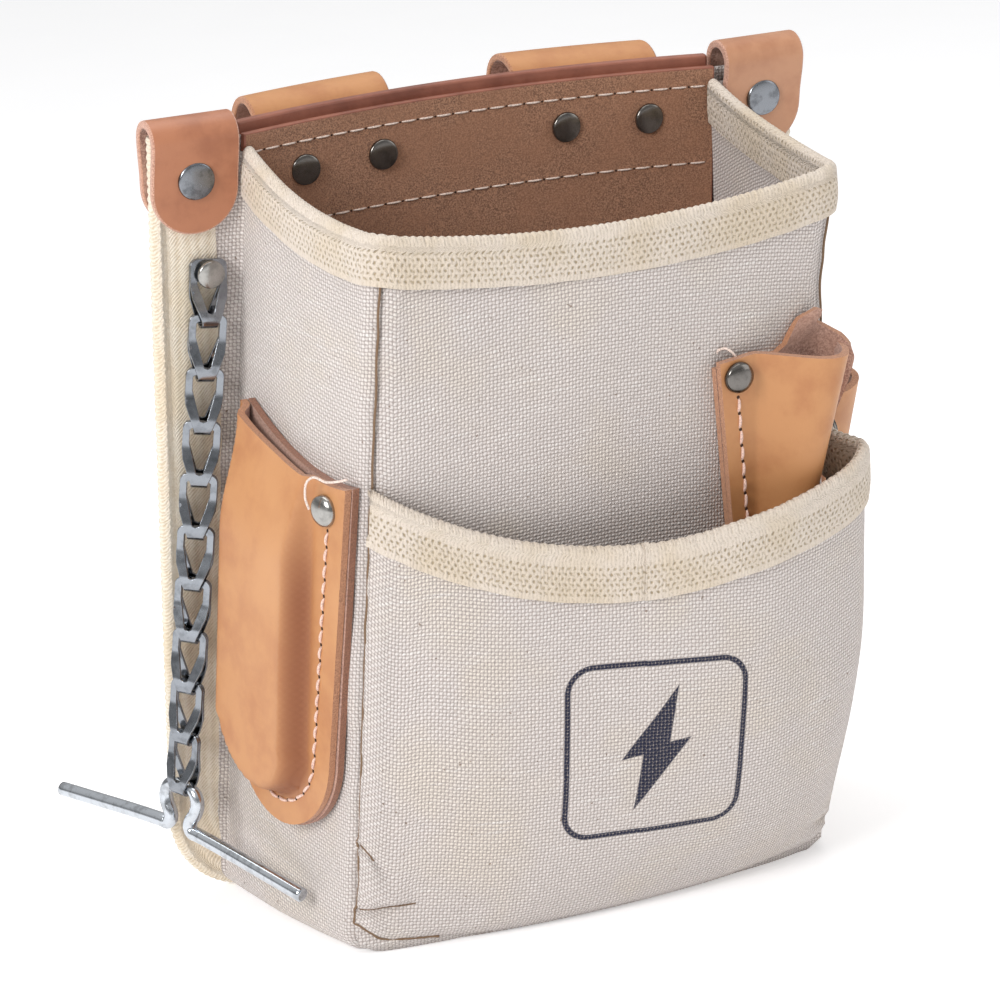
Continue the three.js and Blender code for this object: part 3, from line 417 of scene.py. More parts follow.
def along_path(path, distances):
    """Points at distances, in mm, along a polyline."""
    lengths = arc_lengths(path)
    return np.stack([np.interp(distances, lengths, path[:, k]) for k in range(path.shape[1])], -1)


# ------------------------------ materials
class Field:
    """A number in a material's node tree: arithmetic on it adds math nodes."""

    def __init__(self, tree, socket):
        self.tree = tree
        self.socket = socket

    def math(self, operation, *others, clamp=False):
        node = self.tree.nodes.new("ShaderNodeMath")
        node.operation = operation
        node.use_clamp = clamp
        for slot, value in zip(node.inputs, (self, *others)):
            if isinstance(value, Field):
                self.tree.links.new(value.socket, slot)
            else:
                slot.default_value = value
        return Field(self.tree, node.outputs[0])

    def __add__(self, other):
        return self.math("ADD", other)

    def __sub__(self, other):
        return self.math("SUBTRACT", other)

    def __mul__(self, other):
        return self.math("MULTIPLY", other)

    def __truediv__(self, other):
        return self.math("DIVIDE", other)

    def __neg__(self):
        return self * -1

    def between(self, low, high):
        """0 below low and 1 above high, smooth between."""
        node = self.tree.nodes.new("ShaderNodeMapRange")
        node.interpolation_type = "SMOOTHSTEP"
        self.tree.links.new(self.socket, node.inputs["Value"])
        node.inputs["From Min"].default_value = low
        node.inputs["From Max"].default_value = high
        return Field(self.tree, node.outputs["Result"])


class Recipe:
    """A Principled material and the few nodes that the pouch's materials are made of."""

    def __init__(self, name, **values):
        self.material = bpy.data.materials.new(name)
        self.material.use_nodes = True
        self.tree = self.material.node_tree
        self.shader = self.tree.nodes["Principled BSDF"]
        for socket, value in values.items():
            self.shader.inputs[socket.replace("_", " ")].default_value = value

    def uv(self, layer="cloth"):
        node = self.tree.nodes.new("ShaderNodeUVMap")
        node.uv_map = layer
        split = self.tree.nodes.new("ShaderNodeSeparateXYZ")
        self.tree.links.new(node.outputs["UV"], split.inputs[0])
        return Field(self.tree, split.outputs["X"]), Field(self.tree, split.outputs["Y"])

    def noise(self, size, detail=2.0, roughness=0.5, stretch=(1, 1, 1)):
        """Noise about 0.5 whose blobs are size mm wide, fixed to the piece."""
        coordinates = self.tree.nodes.new("ShaderNodeTexCoord")
        scale = self.tree.nodes.new("ShaderNodeVectorMath")
        scale.operation = "MULTIPLY"
        scale.inputs[1].default_value = [1000 / size / s for s in stretch]
        node = self.tree.nodes.new("ShaderNodeTexNoise")
        node.inputs["Scale"].default_value = 1
        node.inputs["Detail"].default_value = detail
        node.inputs["Roughness"].default_value = roughness
        self.tree.links.new(coordinates.outputs["Object"], scale.inputs[0])
        self.tree.links.new(scale.outputs[0], node.inputs["Vector"])
        return Field(self.tree, node.outputs["Fac"])

    def mix(self, first, second, factor):
        """Colours or colour sockets, mixed."""
        node = self.tree.nodes.new("ShaderNodeMix")
        node.data_type = "RGBA"
        self.tree.links.new(factor.socket, node.inputs["Factor"])
        for name, colour in (("A", first), ("B", second)):
            slot = next(s for s in node.inputs if s.name == name and s.type == "RGBA")
            if isinstance(colour, bpy.types.NodeSocket):
                self.tree.links.new(colour, slot)
            else:
                slot.default_value = colour
        return next(s for s in node.outputs if s.type == "RGBA")

    def finish(self, colour=None, roughness=None, height=None, bump=0.2):
        """bump is the height, in mm, that a step of 1 in the height field stands for."""
        if colour is not None:
            self.tree.links.new(colour, self.shader.inputs["Base Color"])
        if roughness is not None:
            self.tree.links.new(roughness.socket, self.shader.inputs["Roughness"])
        if height is not None:
            node = self.tree.nodes.new("ShaderNodeBump")
            node.inputs["Strength"].default_value = 1
            node.inputs["Distance"].default_value = bump / 1000
            self.tree.links.new(height.socket, node.inputs["Height"])
            self.tree.links.new(node.outputs["Normal"], self.shader.inputs["Normal"])
        return self.material


def rgb(red, green, blue):
    """A linear colour from 0 to 255 sRGB values."""
    values = np.array([red, green, blue]) / 255
    linear = np.where(values <= 0.04045, values / 12.92, ((values + 0.055) / 1.055) ** 2.4)
    return (*linear.tolist(), 1.0)


def scaled(colour, factor):
    return (*[min(1, c * factor) for c in rgb(*colour)[:3]], 1.0)


def plain_weave(recipe, cell):
    """Height of a plain weave, 0 to 1: each yarn passes over and under its neighbours."""
    u, v = recipe.uv()
    drift = recipe.noise(9)
    u = u / cell + drift * 0.9
    v = v / cell - drift * 0.9
    over = (u.math("FLOOR") + v.math("FLOOR")).math("MODULO", 2.0).math("ABSOLUTE")
    fu = (u.math("FRACT") - 0.5) * 2
    fv = (v.math("FRACT") - 0.5) * 2
    across = lerp(fu - fv * 0.3, fv, over)
    along = lerp(fv, fu, over)
    float_shape = (-(across * across * 0.7) + 1) * (-(along * along * 0.75) + 1)
    return float_shape * (over * -0.48 + 1)


def canvas_material(name, ink=None):
    """Coarse woven canvas; ink(recipe) is where something is printed on it."""
    recipe = Recipe(name, Roughness=0.95, Sheen_Weight=0.15)
    weave = plain_weave(recipe, 1.12)
    fibre = recipe.noise(0.35, 2.0, 0.7)
    tone = recipe.noise(34, 3.0, 0.55)
    slub = recipe.noise(3, 2.0, 0.5, (6, 6, 0.4))
    yarn = recipe.mix(rgb(226, 218, 214), rgb(227, 217, 206), tone.between(0.45, 0.7))
    yarn = recipe.mix(yarn, rgb(238, 233, 229), slub.between(0.58, 0.72) * 0.7)
    # Painted shade: the canvas is darker between the yarns, where the weave is low.
    colour = recipe.mix(rgb(168, 156, 150), yarn, (weave + (fibre - 0.5) * 0.55).between(0.08, 0.66))
    fleck = recipe.noise(1.6, 1.0, 0.4).between(0.765, 0.8)
    colour = recipe.mix(colour, rgb(120, 98, 80), fleck * 0.75)
    if ink is not None:
        worn = (weave + (fibre - 0.5) * 0.6).between(-0.05, 0.3)
        colour = recipe.mix(colour, rgb(24, 27, 52), ink(recipe) * worn)
    height = weave + fibre * 0.3
    return recipe.finish(colour, height=height, bump=0.45)


def tape_material(name):
    """Knitted cotton tape: rows of slanting gaps between stitches, plain at the fold and the low edge."""
    recipe = Recipe(name, Roughness=0.9, Sheen_Weight=0.2)
    u, v = recipe.uv()
    drift = recipe.noise(5) - 0.5
    row, stitch = 1.65, 2.0
    lane = v / row + drift * 0.15
    odd = lane.math("FLOOR").math("MODULO", 2.0).math("ABSOLUTE")
    fv = (lane.math("FRACT") - 0.5) * 2
    slant = fv * (odd * 0.36 - 0.18)
    fu = ((u / stitch + odd * 0.5 + slant + drift * 0.25).math("FRACT") - 0.5) * 2
    gap = (-fu.math("ABSOLUTE").between(0.15, 0.75) + 1) * (-fv.math("ABSOLUTE").between(0.2, 0.9) + 1)
    low_edge = v.between(1.4, 2.4)
    before_fold = -v.between(11.0, 12.2) + 1
    after_fold = v.between(17.5, 18.5)
    knitted = low_edge * (before_fold + after_fold)
    fine = (u * (2 * math.pi / 1.15) + drift * 9).math("SINE") * 0.5 + 0.5
    fibre = recipe.noise(0.3, 2.0, 0.7)
    cord = recipe.noise(0.9, 2.0, 0.6)
    body = fine * 0.3 + 0.7
    # The gaps between the stitches are darker: painted shade in the gaps.
    value = body - gap * knitted * 0.55 + (fibre - 0.5) * 0.5 + (cord - 0.5) * 1.1
    tone = recipe.noise(22, 3.0)
    light = recipe.mix(rgb(220, 207, 193), rgb(214, 198, 177), tone.between(0.42, 0.7))
    colour = recipe.mix(rgb(166, 148, 120), light, value.between(0.12, 0.85))
    return recipe.finish(colour, height=value, bump=0.5)


def selvedge_material(name):
    """Woven cotton tape: soft ribs along it, crossed by slanting threads."""
    recipe = Recipe(name, Roughness=0.92, Sheen_Weight=0.2)
    u, v = recipe.uv()
    drift = recipe.noise(6) - 0.5
    rib = ((v / 3.4 + drift * 0.7) * (2 * math.pi)).math("SINE") * 0.5 + 0.5
    thread = ((u / 1.25 + v / 2.4 + drift * 1.6) * (2 * math.pi)).math("SINE") * 0.5 + 0.5
    fibre = recipe.noise(0.35, 2.0, 0.7)
    cord = recipe.noise(1.1, 3.0, 0.65)
    tone = recipe.noise(22, 3.0)
    height = rib * 0.2 + thread * 0.32 + cord * 0.6
    light = recipe.mix(rgb(234, 224, 208), rgb(229, 214, 191), tone.between(0.42, 0.7))
    colour = recipe.mix(rgb(206, 188, 160), light, (height + (fibre - 0.5) * 0.6).between(0.2, 0.72))
    return recipe.finish(colour, height=height + fibre * 0.3, bump=0.4)


def grain_material(name, base, deep, pale, roughness=0.5, burnish_and_shade=None):
    """Smooth leather: fine grain and soft mottling."""
    recipe = Recipe(name, Coat_Weight=0.08, Coat_Roughness=0.35)
    grain = recipe.noise(0.55, 3.0, 0.6)
    pores = recipe.noise(0.25, 1.0)
    mottle = recipe.noise(13, 4.0, 0.6)
    cloud = recipe.noise(45)
    colour = recipe.mix(rgb(*deep), rgb(*base), mottle.between(0.28, 0.62))
    colour = recipe.mix(colour, rgb(*pale), cloud.between(0.5, 0.78) * 0.7)
    colour = recipe.mix(colour, rgb(*deep), grain.between(0.62, 0.75) * 0.35)
    # Darkens the leather along its creases by the crease layer: partly burnish, partly painted shade.
    if burnish_and_shade is not None:
        colour = recipe.mix(colour, rgb(*burnish_and_shade), recipe.uv("crease")[0])
    rough_field = mottle * 0.18 + (roughness - 0.09)
    height = grain * 0.6 + pores * 0.4
    return recipe.finish(colour, rough_field, height, bump=0.06)


def suede_material(name, light, middle, dark, size=0.75, bump=0.3):
    """The nap of a hide's flesh side, or a cut edge."""
    recipe = Recipe(name, Roughness=0.97, Sheen_Weight=0.25, Sheen_Roughness=0.6)
    nap = recipe.noise(size, 3.0, 0.75)
    tone = recipe.noise(20, 3.0, 0.6)
    colour = recipe.mix(rgb(*dark), rgb(*light), nap.between(0.36, 0.64))
    colour = recipe.mix(colour, rgb(*middle), tone.between(0.35, 0.65) * 0.5)
    return recipe.finish(colour, height=nap, bump=bump)


def metal_material(name, colour, roughness, spots=0.3):
    """Plated metal with faint clouds and fine handling marks."""
    recipe = Recipe(name, Metallic=1.0)
    cloud = recipe.noise(3.5, 3.0, 0.6)
    fine = recipe.noise(0.5, 2.0, 0.6)
    shade = recipe.mix(scaled(colour, 1 - spots), rgb(*colour), cloud.between(0.3, 0.55))
    return recipe.finish(shade, cloud * 0.14 + fine * 0.06 + (roughness - 0.1), fine, bump=0.006)


def thread_material(name, colour):
    recipe = Recipe(name, Roughness=0.8)
    ply = recipe.noise(0.4, 1.0)
    twisted = recipe.mix(scaled(colour, 0.6), rgb(*colour), ply.between(0.3, 0.6))
    return recipe.finish(twisted, height=ply, bump=0.15)


def plain_material(name, colour, roughness):
    recipe = Recipe(name, Roughness=roughness)
    return recipe.finish(recipe.mix(rgb(*colour), scaled(colour, 1.03), recipe.noise(60)))


INK_EDGE = 0.25


def triangle(x, y, corners):
    """A field that is 1 inside a flat triangle, its corners listed anticlockwise."""
    sides = []
    for (x0, y0), (x1, y1) in zip(corners, (*corners[1:], corners[0])):
        length = math.hypot(x1 - x0, y1 - y0)
        sides.append((y - y0) * ((x1 - x0) / length) - (x - x0) * ((y1 - y0) / length))
    nearest = sides[0].math("MINIMUM", sides[1]).math("MINIMUM", sides[2])
    return nearest.between(-INK_EDGE, INK_EDGE)


def printed_bolt(recipe):
    """A plain lightning bolt in a rounded square frame, printed on the front pocket."""
    u, v = recipe.uv()
    centre, half, corner, line = (4, 62), 29.0, 9.0, 1.8
    x, y = u - centre[0], v - centre[1]
    dx, dy = [(side.math("ABSOLUTE") - (half - corner)).math("MAXIMUM", 0.0) for side in (x, y)]
    distance = (dx * dx + dy * dy).math("SQRT") - corner
    frame_line = -((distance + line / 2).math("ABSOLUTE") - line / 2)
    outline = frame_line.between(-INK_EDGE, INK_EDGE)
    upper = triangle(x, y, ((6.5, 20.5), (-11, -3), (3.8, -0.6)))
    lower = triangle(x, y, ((-6.5, -20.5), (11, 3), (-3.8, 0.6)))
    return outline.math("MAXIMUM", upper).math("MAXIMUM", lower)


canvas = canvas_material("canvas")
canvas_printed = canvas_material("canvas_printed", ink=printed_bolt)
knit_tape = tape_material("knit_tape")
woven_tape = selvedge_material("woven_tape")
# The corner tabs take darker and lighter copies of one leather: painted shade on the left tab and painted
# light on the right.
TAB_PAINTED_LIT = ((190, 138, 104), (172, 118, 86), (198, 148, 116))
TAN = ((192, 136, 88), (178, 119, 74), (200, 146, 99))
tan_leather = grain_material("tan_leather", *TAN)
# The knife pocket's leather, darkened round its moulded part: partly burnish, partly painted shade.
moulded_leather = grain_material("moulded_leather", *TAN, burnish_and_shade=(134, 76, 38))
tan_edge = suede_material("tan_edge", (196, 142, 106), (180, 124, 88), (146, 96, 66), 0.5, 0.15)
tan_suede = suede_material("tan_suede", (200, 162, 144), (184, 142, 122), (138, 98, 84), 0.7, 0.25)
tab_leather = grain_material("tab_leather", (178, 118, 86), (158, 100, 72), (190, 134, 103), 0.42)
tab_leather_painted_lit = grain_material("tab_leather_painted_lit", *TAB_PAINTED_LIT, 0.42)
tab_edge = suede_material("tab_edge", (214, 170, 146), (196, 146, 124), (160, 112, 94), 0.5, 0.15)
back_suede = suede_material("back_suede", (190, 140, 108), (166, 115, 84), (116, 78, 56), 0.5, 0.3)
back_edge = grain_material("back_edge", (150, 92, 72), (124, 72, 56), (166, 108, 86), 0.45)
backing_edge = suede_material("backing_edge", (160, 108, 80), (142, 92, 66), (112, 70, 50), 0.5, 0.15)
nickel = metal_material("nickel", (172, 170, 166), 0.2)
tab_nickel = metal_material("tab_nickel", (134, 137, 142), 0.24, 0.45)
dark_nickel = metal_material("dark_nickel", (120, 116, 112), 0.2)
zinc = metal_material("zinc", (146, 150, 156), 0.17)
zinc_wire = metal_material("zinc_wire", (202, 207, 213), 0.18)
white_thread = thread_material("white_thread", (236, 216, 204))
pink_thread = thread_material("pink_thread", (240, 205, 190))
seam_shadow = plain_material("seam_shadow", (122, 98, 76), 0.95)
# Painted shade of the stitch holes.
hole_shade = plain_material("hole_shade", (58, 36, 26), 0.9)
floor_paint = plain_material("floor_paint", (243, 243, 244), 0.7)
floor_shader = floor_paint.node_tree.nodes["Principled BSDF"]
floor_shader.inputs["Emission Color"].default_value = (1, 1, 1, 1)
floor_shader.inputs["Emission Strength"].default_value = 0.3


# ------------------------------ back
FRONTWARDS, BACKWARDS, UPWARDS, DOWNWARDS = (0, -1, 0), (0, 1, 0), (0, 0, 1), (0, 0, -1)
LEFTWARDS, RIGHTWARDS = (-1, 0, 0), (1, 0, 0)


def back_place(inner_y):
    """Bends a flat sheet to the bowed back, its front face at inner_y before the bow."""
    def place(a, b):
        return stack(a, inner_y + back_bow(a, b) + 0.25 * rough(stack(a, 0 * a, b), 35, 1), b)
    return place


def plate_outline(half, low, high, corner):
    return [(-half, high), *arc((-half + corner, low + corner), corner, 180, 270),
            *arc((half - corner, low + corner), corner, 270, 360), (half, high)]


def make_back():
    outline = plate_outline(BACK_HALF, BACK_LOW, BACK_TOP - 1.6, BACK_CORNER)
    suede_back = leather_sheet("back_leather", outline, back_place(BACK_Y), FRONTWARDS,
                               [back_suede, back_edge, back_edge], spacing=3.0)
    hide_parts("back_leather_panel")
    flange_low = floor_z(BACK_Y + FLANGE_STEP) + 1.9
    outline = plate_outline(FLANGE_HALF, flange_low, BACK_TOP - 3, FLANGE_CORNER)
    sheet = leather_sheet("back_canvas", outline, back_place(BACK_Y + 3.4), FRONTWARDS, [canvas] * 3,
                          CANVAS, spacing=3.0, edge_round=0)
    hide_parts("back_canvas_panel")
    outline = plate_outline(BACK_HALF, BACK_TOP - STRAP_HEIGHT, BACK_TOP + 1.0, 4)
    strap = leather_sheet("back_strap", outline, back_place(BACK_Y + 4.6), FRONTWARDS,
                          [back_edge, back_edge, tab_leather], 3.2, spacing=3.0, edge_round=1.0)
    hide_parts("back_reinforcement")
    return [suede_back, sheet, strap]


# ------------------------------ gusset, front and pocket
WRAP = 0.45
WRAP_SHARE = 0.94


def seam_dip(distance, depth=1.1, width=1.6):
    """How deep a seam pulls the cloth in, at a distance from it."""
    return depth * np.exp(-(distance / width) ** 2)


def draw_in(points, depth):
    """Moves points by an upright front corner back and in towards the pouch's middle."""
    points[..., 1] += depth
    points[..., 0] -= np.sign(points[..., 0]) * depth


GUSSET_WALL, GUSSET_CORNER = 0.6, 0.7
FLARE_SHARE, ROLL_SHARE = 0.16, 0.08
FLARE_OUT = 13
GUSSET_ROLL = 1.6
SEAM_PULL = 0.7


def gusset_points(rows, columns):
    """Left wall, bottom and right wall in one strip; rows run round the strip, columns from back to front.
    The rear edge turns out onto the flange and the front edge rolls round into the seam."""
    s = np.linspace(0, 1, rows)[:, None]
    v = np.linspace(0, 1, columns)[None, :]
    side = np.where(s < 0.5, -1.0, 1.0)
    along = np.where(s < 0.5, s * 2, (1 - s) * 2)
    u = (np.clip((v - FLARE_SHARE) / (1 - FLARE_SHARE - ROLL_SHARE), 0, 1)
         + np.clip((v - 1 + ROLL_SHARE) / ROLL_SHARE, 0, 1))
    corner_z = BODY_CORNER + floor_z(body_plan(u, 6.0)[..., 1])
    z_wall = lerp(rim_z(u), corner_z, np.clip(along / GUSSET_WALL, 0, 1))
    angle = np.clip((along - GUSSET_WALL) / (GUSSET_CORNER - GUSSET_WALL), 0, 1) * np.pi / 2
    z = np.where(along <= GUSSET_WALL, z_wall, corner_z - BODY_CORNER * np.sin(angle))
    plan = body_plan(u, np.where(along <= GUSSET_WALL, z_wall, corner_z))
    half = -plan[..., 0]
    x = half - np.where(along > GUSSET_WALL, BODY_CORNER * (1 - np.cos(angle)), 0)
    across = np.clip(1 - (along - GUSSET_CORNER) / (1 - GUSSET_CORNER), 0, 1)
    on_floor = along > GUSSET_CORNER
    x = np.where(on_floor, across * (half - BODY_CORNER), x)
    bottom_y = lerp(BACK_Y, front_y(x, 0), np.clip((v - FLARE_SHARE) / (1 - FLARE_SHARE), 0, 1))
    y = np.where(on_floor, lerp(bottom_y, plan[..., 1], across ** 6), plan[..., 1])
    z = np.where(on_floor, floor_z(y), z)
    points = stack(side * x, y, z)
    turn = np.clip(1 - v / FLARE_SHARE, 0, 1)
    flare = FLARE_OUT * turn ** 2.2 * np.cos(angle) ** 2 * np.where(on_floor, 0, 1)
    points[..., 0] += side * flare * np.clip((z + 12) / 22, 0, 1)
    points[..., 1] = np.where(v < FLARE_SHARE, lerp(points[..., 1], BACK_Y + 2.0, turn), points[..., 1])
    return points, u, along


def make_gusset():
    points, u, along = gusset_points(241, 61)
    wall = np.clip(1 - (along - GUSSET_WALL) * 8, 0, 1)
    inner = np.clip(np.minimum(u * 3, (2 - u) * 2), 0, 1)
    push = (1.1 * rough(points, 48, 3) + 0.45 * rough(points, 17, 4)) * inner * wall
    points[..., 0] += np.sign(points[..., 0]) * push
    dip = seam_dip((2 - WRAP - u) * 7) * (along < GUSSET_CORNER)
    under = GUSSET_ROLL * smoothstep(u, 2 - WRAP, 2 - WRAP + 0.12) * (along < 0.65)
    draw_in(points, dip * SEAM_PULL + under * SEAM_PULL)
    piece = cloth("gusset", points, DOWNWARDS, canvas, CANVAS)
    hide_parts("side_gusset")
    return piece


def front_points(rows, columns):
    """The front panel, whose sides reach round the corners, and each point's distance from the seam."""
    column = np.linspace(-1, 1, columns)[None, :]
    v = np.linspace(0, 1, rows)[:, None]
    z = lerp(sheet_low(column), rim_front(column * FRONT_HALF_TOP), v)
    side = np.clip((np.abs(column) - WRAP_SHARE) / (1 - WRAP_SHARE), 0, 1)
    half = sheet_half(column, z) - corner_radius(z) * smoothstep(z, 0, 10)
    x = np.minimum(np.abs(column) / WRAP_SHARE, 1) * half
    flat = stack(np.sign(column) * x, front_y(x, z), z)
    wrapped = body_point(np.where(column < 0, 2 - side * WRAP, 3 + side * WRAP), z)
    on_corner = (np.abs(column) > WRAP_SHARE) & (z > 4)
    points = np.where(on_corner[..., None], wrapped, flat)
    return points, np.where(on_corner, 1 - side, 1 + half - x) * corner_radius(z) * WRAP


def make_front():
    points, from_seam = front_points(91, 81)
    soft = smoothstep(from_seam, 0, 12)
    points[..., 1] -= (1.3 * rough(points, 55, 5) + 0.4 * rough(points, 20, 6)) * soft
    draw_in(points, seam_dip(from_seam) * SEAM_PULL)
    column = points[..., 0] / FRONT_HALF_LOW
    lip = smoothstep(np.abs(column), 0.4, 0.8) * np.exp(-((points[..., 2] - sheet_low(column) - 2) / 4) ** 2)
    points[..., 1] -= 1.4 * lip * smoothstep(from_seam, 0, 3)
    piece = cloth("front", points, FRONTWARDS, canvas, CANVAS)
    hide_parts("front_panel")
    return piece


def pocket_low(column):
    """The pocket's lower edge: it rises towards its corners, where the gusset's roll shows below it."""
    to_end = np.abs(column)
    rise = 2.6 * smoothstep(to_end, 0.45, 0.9)
    return sheet_low(column) + 0.8 + rise + 6.5 * smoothstep(to_end, 0.86, 1.02) ** 1.6


def crease(across, z, start, end, width, depth):
    """Depth of a short fold line between two points, fading at its far end."""
    start, end = np.array(start, float), np.array(end, float)
    length = np.linalg.norm(end - start)
    direction = (end - start) / length
    along = (across - start[0]) * direction[0] + (z - start[1]) * direction[1]
    away = (z - start[1]) * direction[0] - (across - start[0]) * direction[1]
    fade = smoothstep(along, -1.5, 1.0) * (1 - smoothstep(along, length * 0.45, length))
    return depth * fade * np.exp(-(away / width) ** 2)


# Fold lines on the pocket's lower corners: ends as (across, z), width and depth inwards.
POCKET_FOLDS = (((-82, 11.7), (-61, 14.8), 1.4, 2.2), ((-82, 35), (-73, 22), 1.2, 1.8),
                ((-82, 24), (-66, 12), 3.5, -1.2), ((82, 8), (64, 13), 1.5, 1.6))


def pocket_surface(column, z, offset=CANVAS):
    """The pocket's outer face, pinched in where its ends and its lower edge are sewn."""
    points = offset_point(pocket_plan, column, -1, 1, z, offset)
    to_end = (1 - np.abs(column)) * FRONT_HALF_LOW
    to_low = np.maximum(z - pocket_low(column), 0)
    soft = smoothstep(to_end, 0, 10) * smoothstep(to_low, 0, 14)
    left = np.where(column < 0, 1.0, 0.0)
    waves = 1.3 * rough(points, 48, 7) + 0.4 * rough(points, 17, 8)
    points[..., 1] += seam_dip(to_end, 2.4, 2.0) - waves * soft
    points[..., 0] += left * 1.6
    points[..., 1] += seam_dip(to_low, 1.6, 2.2)
    for fold in POCKET_FOLDS:
        points[..., 1] += crease(column * FRONT_HALF_LOW, z, *fold)
    return points


def make_pocket():
    u = np.linspace(0, 1, 121)[None, :]
    v = np.linspace(0, 1, 181)[:, None]
    column = -np.cos(np.pi * u) * np.ones_like(v)
    z = lerp(pocket_low(column), pocket_top(column * front_half(POCKET_TOP)), v)
    piece = cloth("front_pocket", pocket_surface(column, z), FRONTWARDS, canvas_printed, CANVAS, canvas)
    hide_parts("front_pocket_panel")
    return piece


# ------------------------------ tape bindings
TAPE_OFF, TAPE_DROP, TAPE_CROWN = 1.3, 0.6, 2.4
TAPE_STEP, TAPE_SCALLOP = 0.55, 2.3


def folded_section(height, room, rows=22):
    """(offset outwards, drop below the edge) of a tape folded over an edge, from its outer leg's end."""
    leg = np.linspace(0, 1, rows)
    outer = [(TAPE_OFF + 0.4 * math.sin(math.pi * t), lerp(height, TAPE_DROP, t)) for t in leg]
    turn = [(lerp(TAPE_OFF, -room - TAPE_OFF, (1 - math.cos(a)) / 2), TAPE_DROP - TAPE_CROWN * math.sin(a))
            for a in np.linspace(0, math.pi, 11)[1:-1]]
    inner = [(-room - TAPE_OFF - 0.3 * math.sin(math.pi * t), lerp(TAPE_DROP, height - 1, t)) for t in leg]
    return np.array(outer + turn + inner)


def make_tape(name, node, place, facing, length, height, material, room=CANVAS):
    """A tape folded over an edge; place(share along it, drop, offset) gives points in mm."""
    offset, drop = folded_section(height, room).T[:, :, None]
    t = np.linspace(0, 1, int(length / TAPE_STEP))[None, :]
    near_edge = np.clip(1 - (drop - TAPE_DROP) / TAPE_CROWN, 0, 1)
    scallop = 0.5 * np.abs(np.sin(np.pi * t * length / TAPE_SCALLOP)) * near_edge
    lower = 0.35 * rough(stack(t * length, 0 * drop, 0 * drop), 9, 11) * (1 - near_edge)
    points = place(t, drop - scallop + lower, offset + 0.12 * rough(stack(t * length, drop, offset), 6, 12))
    piece = cloth(name, points, facing, material, TAPE, edge_round=0.3)
    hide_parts(node)
    return piece


def rim_place(t, drop, offset):
    u = np.interp(t, (0, 0.25, 0.28, 0.72, 0.75, 1), range(6))
    z = rim_z(u) - drop
    return body_point(u * np.ones_like(z), z, offset)


def pocket_place(t, drop, offset):
    column = -np.cos(np.pi * t) * np.ones_like(drop)
    z = pocket_top(column * front_half(POCKET_TOP)) - drop
    return pocket_surface(column, z, CANVAS + offset)


def flange_place(t, drop, offset):
    """Down the left edge, along the bottom and up the right edge; drop is the distance in from the edge."""
    inward = np.asarray(drop, float)
    half = FLANGE_HALF - inward + 0.6
    low = floor_z(BACK_Y + FLANGE_STEP) + 1.3 + inward
    corner = np.maximum(FLANGE_CORNER + 0.6 - inward, 1)
    side = np.where(t < 0.5, -1.0, 1.0)
    s = np.where(t < 0.5, t * 2, (1 - t) * 2)
    wall_end, corner_end = 0.62, 0.76
    angle = np.clip((s - wall_end) / (corner_end - wall_end), 0, 1) * np.pi / 2
    x = half - corner + corner * np.cos(angle)
    z = np.where(s <= wall_end, lerp(BACK_TOP + 0.5, low + corner, np.clip(s / wall_end, 0, 1)),
                 low + corner - corner * np.sin(angle))
    low_x = lerp(half - corner, 0, np.clip((s - corner_end) / (1 - corner_end), 0, 1))
    x = np.where(s > corner_end, low_x, x)
    x = side * x * np.ones_like(offset)
    return stack(x, BACK_Y + 2.5 - offset, z * np.ones_like(offset))


# ------------------------------ side and front leather pieces
KNIFE_REAR, KNIFE_FRONT, KNIFE_TOP_REAR, KNIFE_TOP_FRONT = 25, -37, 155, 147
KNIFE_ROUND, KNIFE_ROUND_Y, KNIFE_ROUND_Z = 28, -4, 59
KNIFE_BULGE_FRONT, KNIFE_BULGE_REAR = 7.4, 8.4
KNIFE_EDGE_REAR, KNIFE_EDGE_FRONT, KNIFE_EDGE_LOW = 25.5, 14.75, 17


def knife_outline(grow=0.0):
    bend = np.array((-14, KNIFE_TOP_FRONT - 5))
    a, b = np.array((KNIFE_FRONT, KNIFE_TOP_FRONT)), np.array((KNIFE_REAR, KNIFE_TOP_REAR))
    top = [tuple(lerp(lerp(a, bend, t), lerp(bend, b, t), t)) for t in np.linspace(0, 1, 20)]
    return [*top, *arc((KNIFE_ROUND_Y, KNIFE_ROUND_Z), KNIFE_ROUND + grow, 0, -180, 33)]


def knife_edge(y, z):
    """Distance outwards from the edge of the knife pocket's moulded part."""
    low = np.maximum(KNIFE_ROUND_Z - z, 0)
    behind = y - KNIFE_ROUND_Y
    radius = np.hypot(behind, low)
    side = np.where(behind > 0, KNIFE_EDGE_REAR, KNIFE_EDGE_FRONT)
    return radius - lerp(side, KNIFE_EDGE_LOW, (low / np.maximum(radius, 0.1)) ** 0.6)


def knife_face(y, z):
    """How far the knife pocket's outer face stands off the wall."""
    height = lerp(KNIFE_BULGE_FRONT, KNIFE_BULGE_REAR, smoothstep(y, -16, 20))
    shut = smoothstep(z, 118, 152) * lerp(0.75, 1, smoothstep(-y, -20, 6))
    moulded = 1 - smoothstep(knife_edge(y, z), -1.9, 1.9)
    return LEATHER + 0.6 + height * moulded * (1 - 0.8 * shut) + LEATHER


def knife_crease_shade(y, z):
    """How dark the crease round the moulded part is painted, partly burnish and partly painted shade,
    strongest at the front and at the lower end, where shade falls.
    """
    near = np.exp(-((knife_edge(y, z) - 0.6) / 2.6) ** 2)
    return near * (1 - smoothstep(y, -4, 14)) * (1 - smoothstep(z, 105, 150))


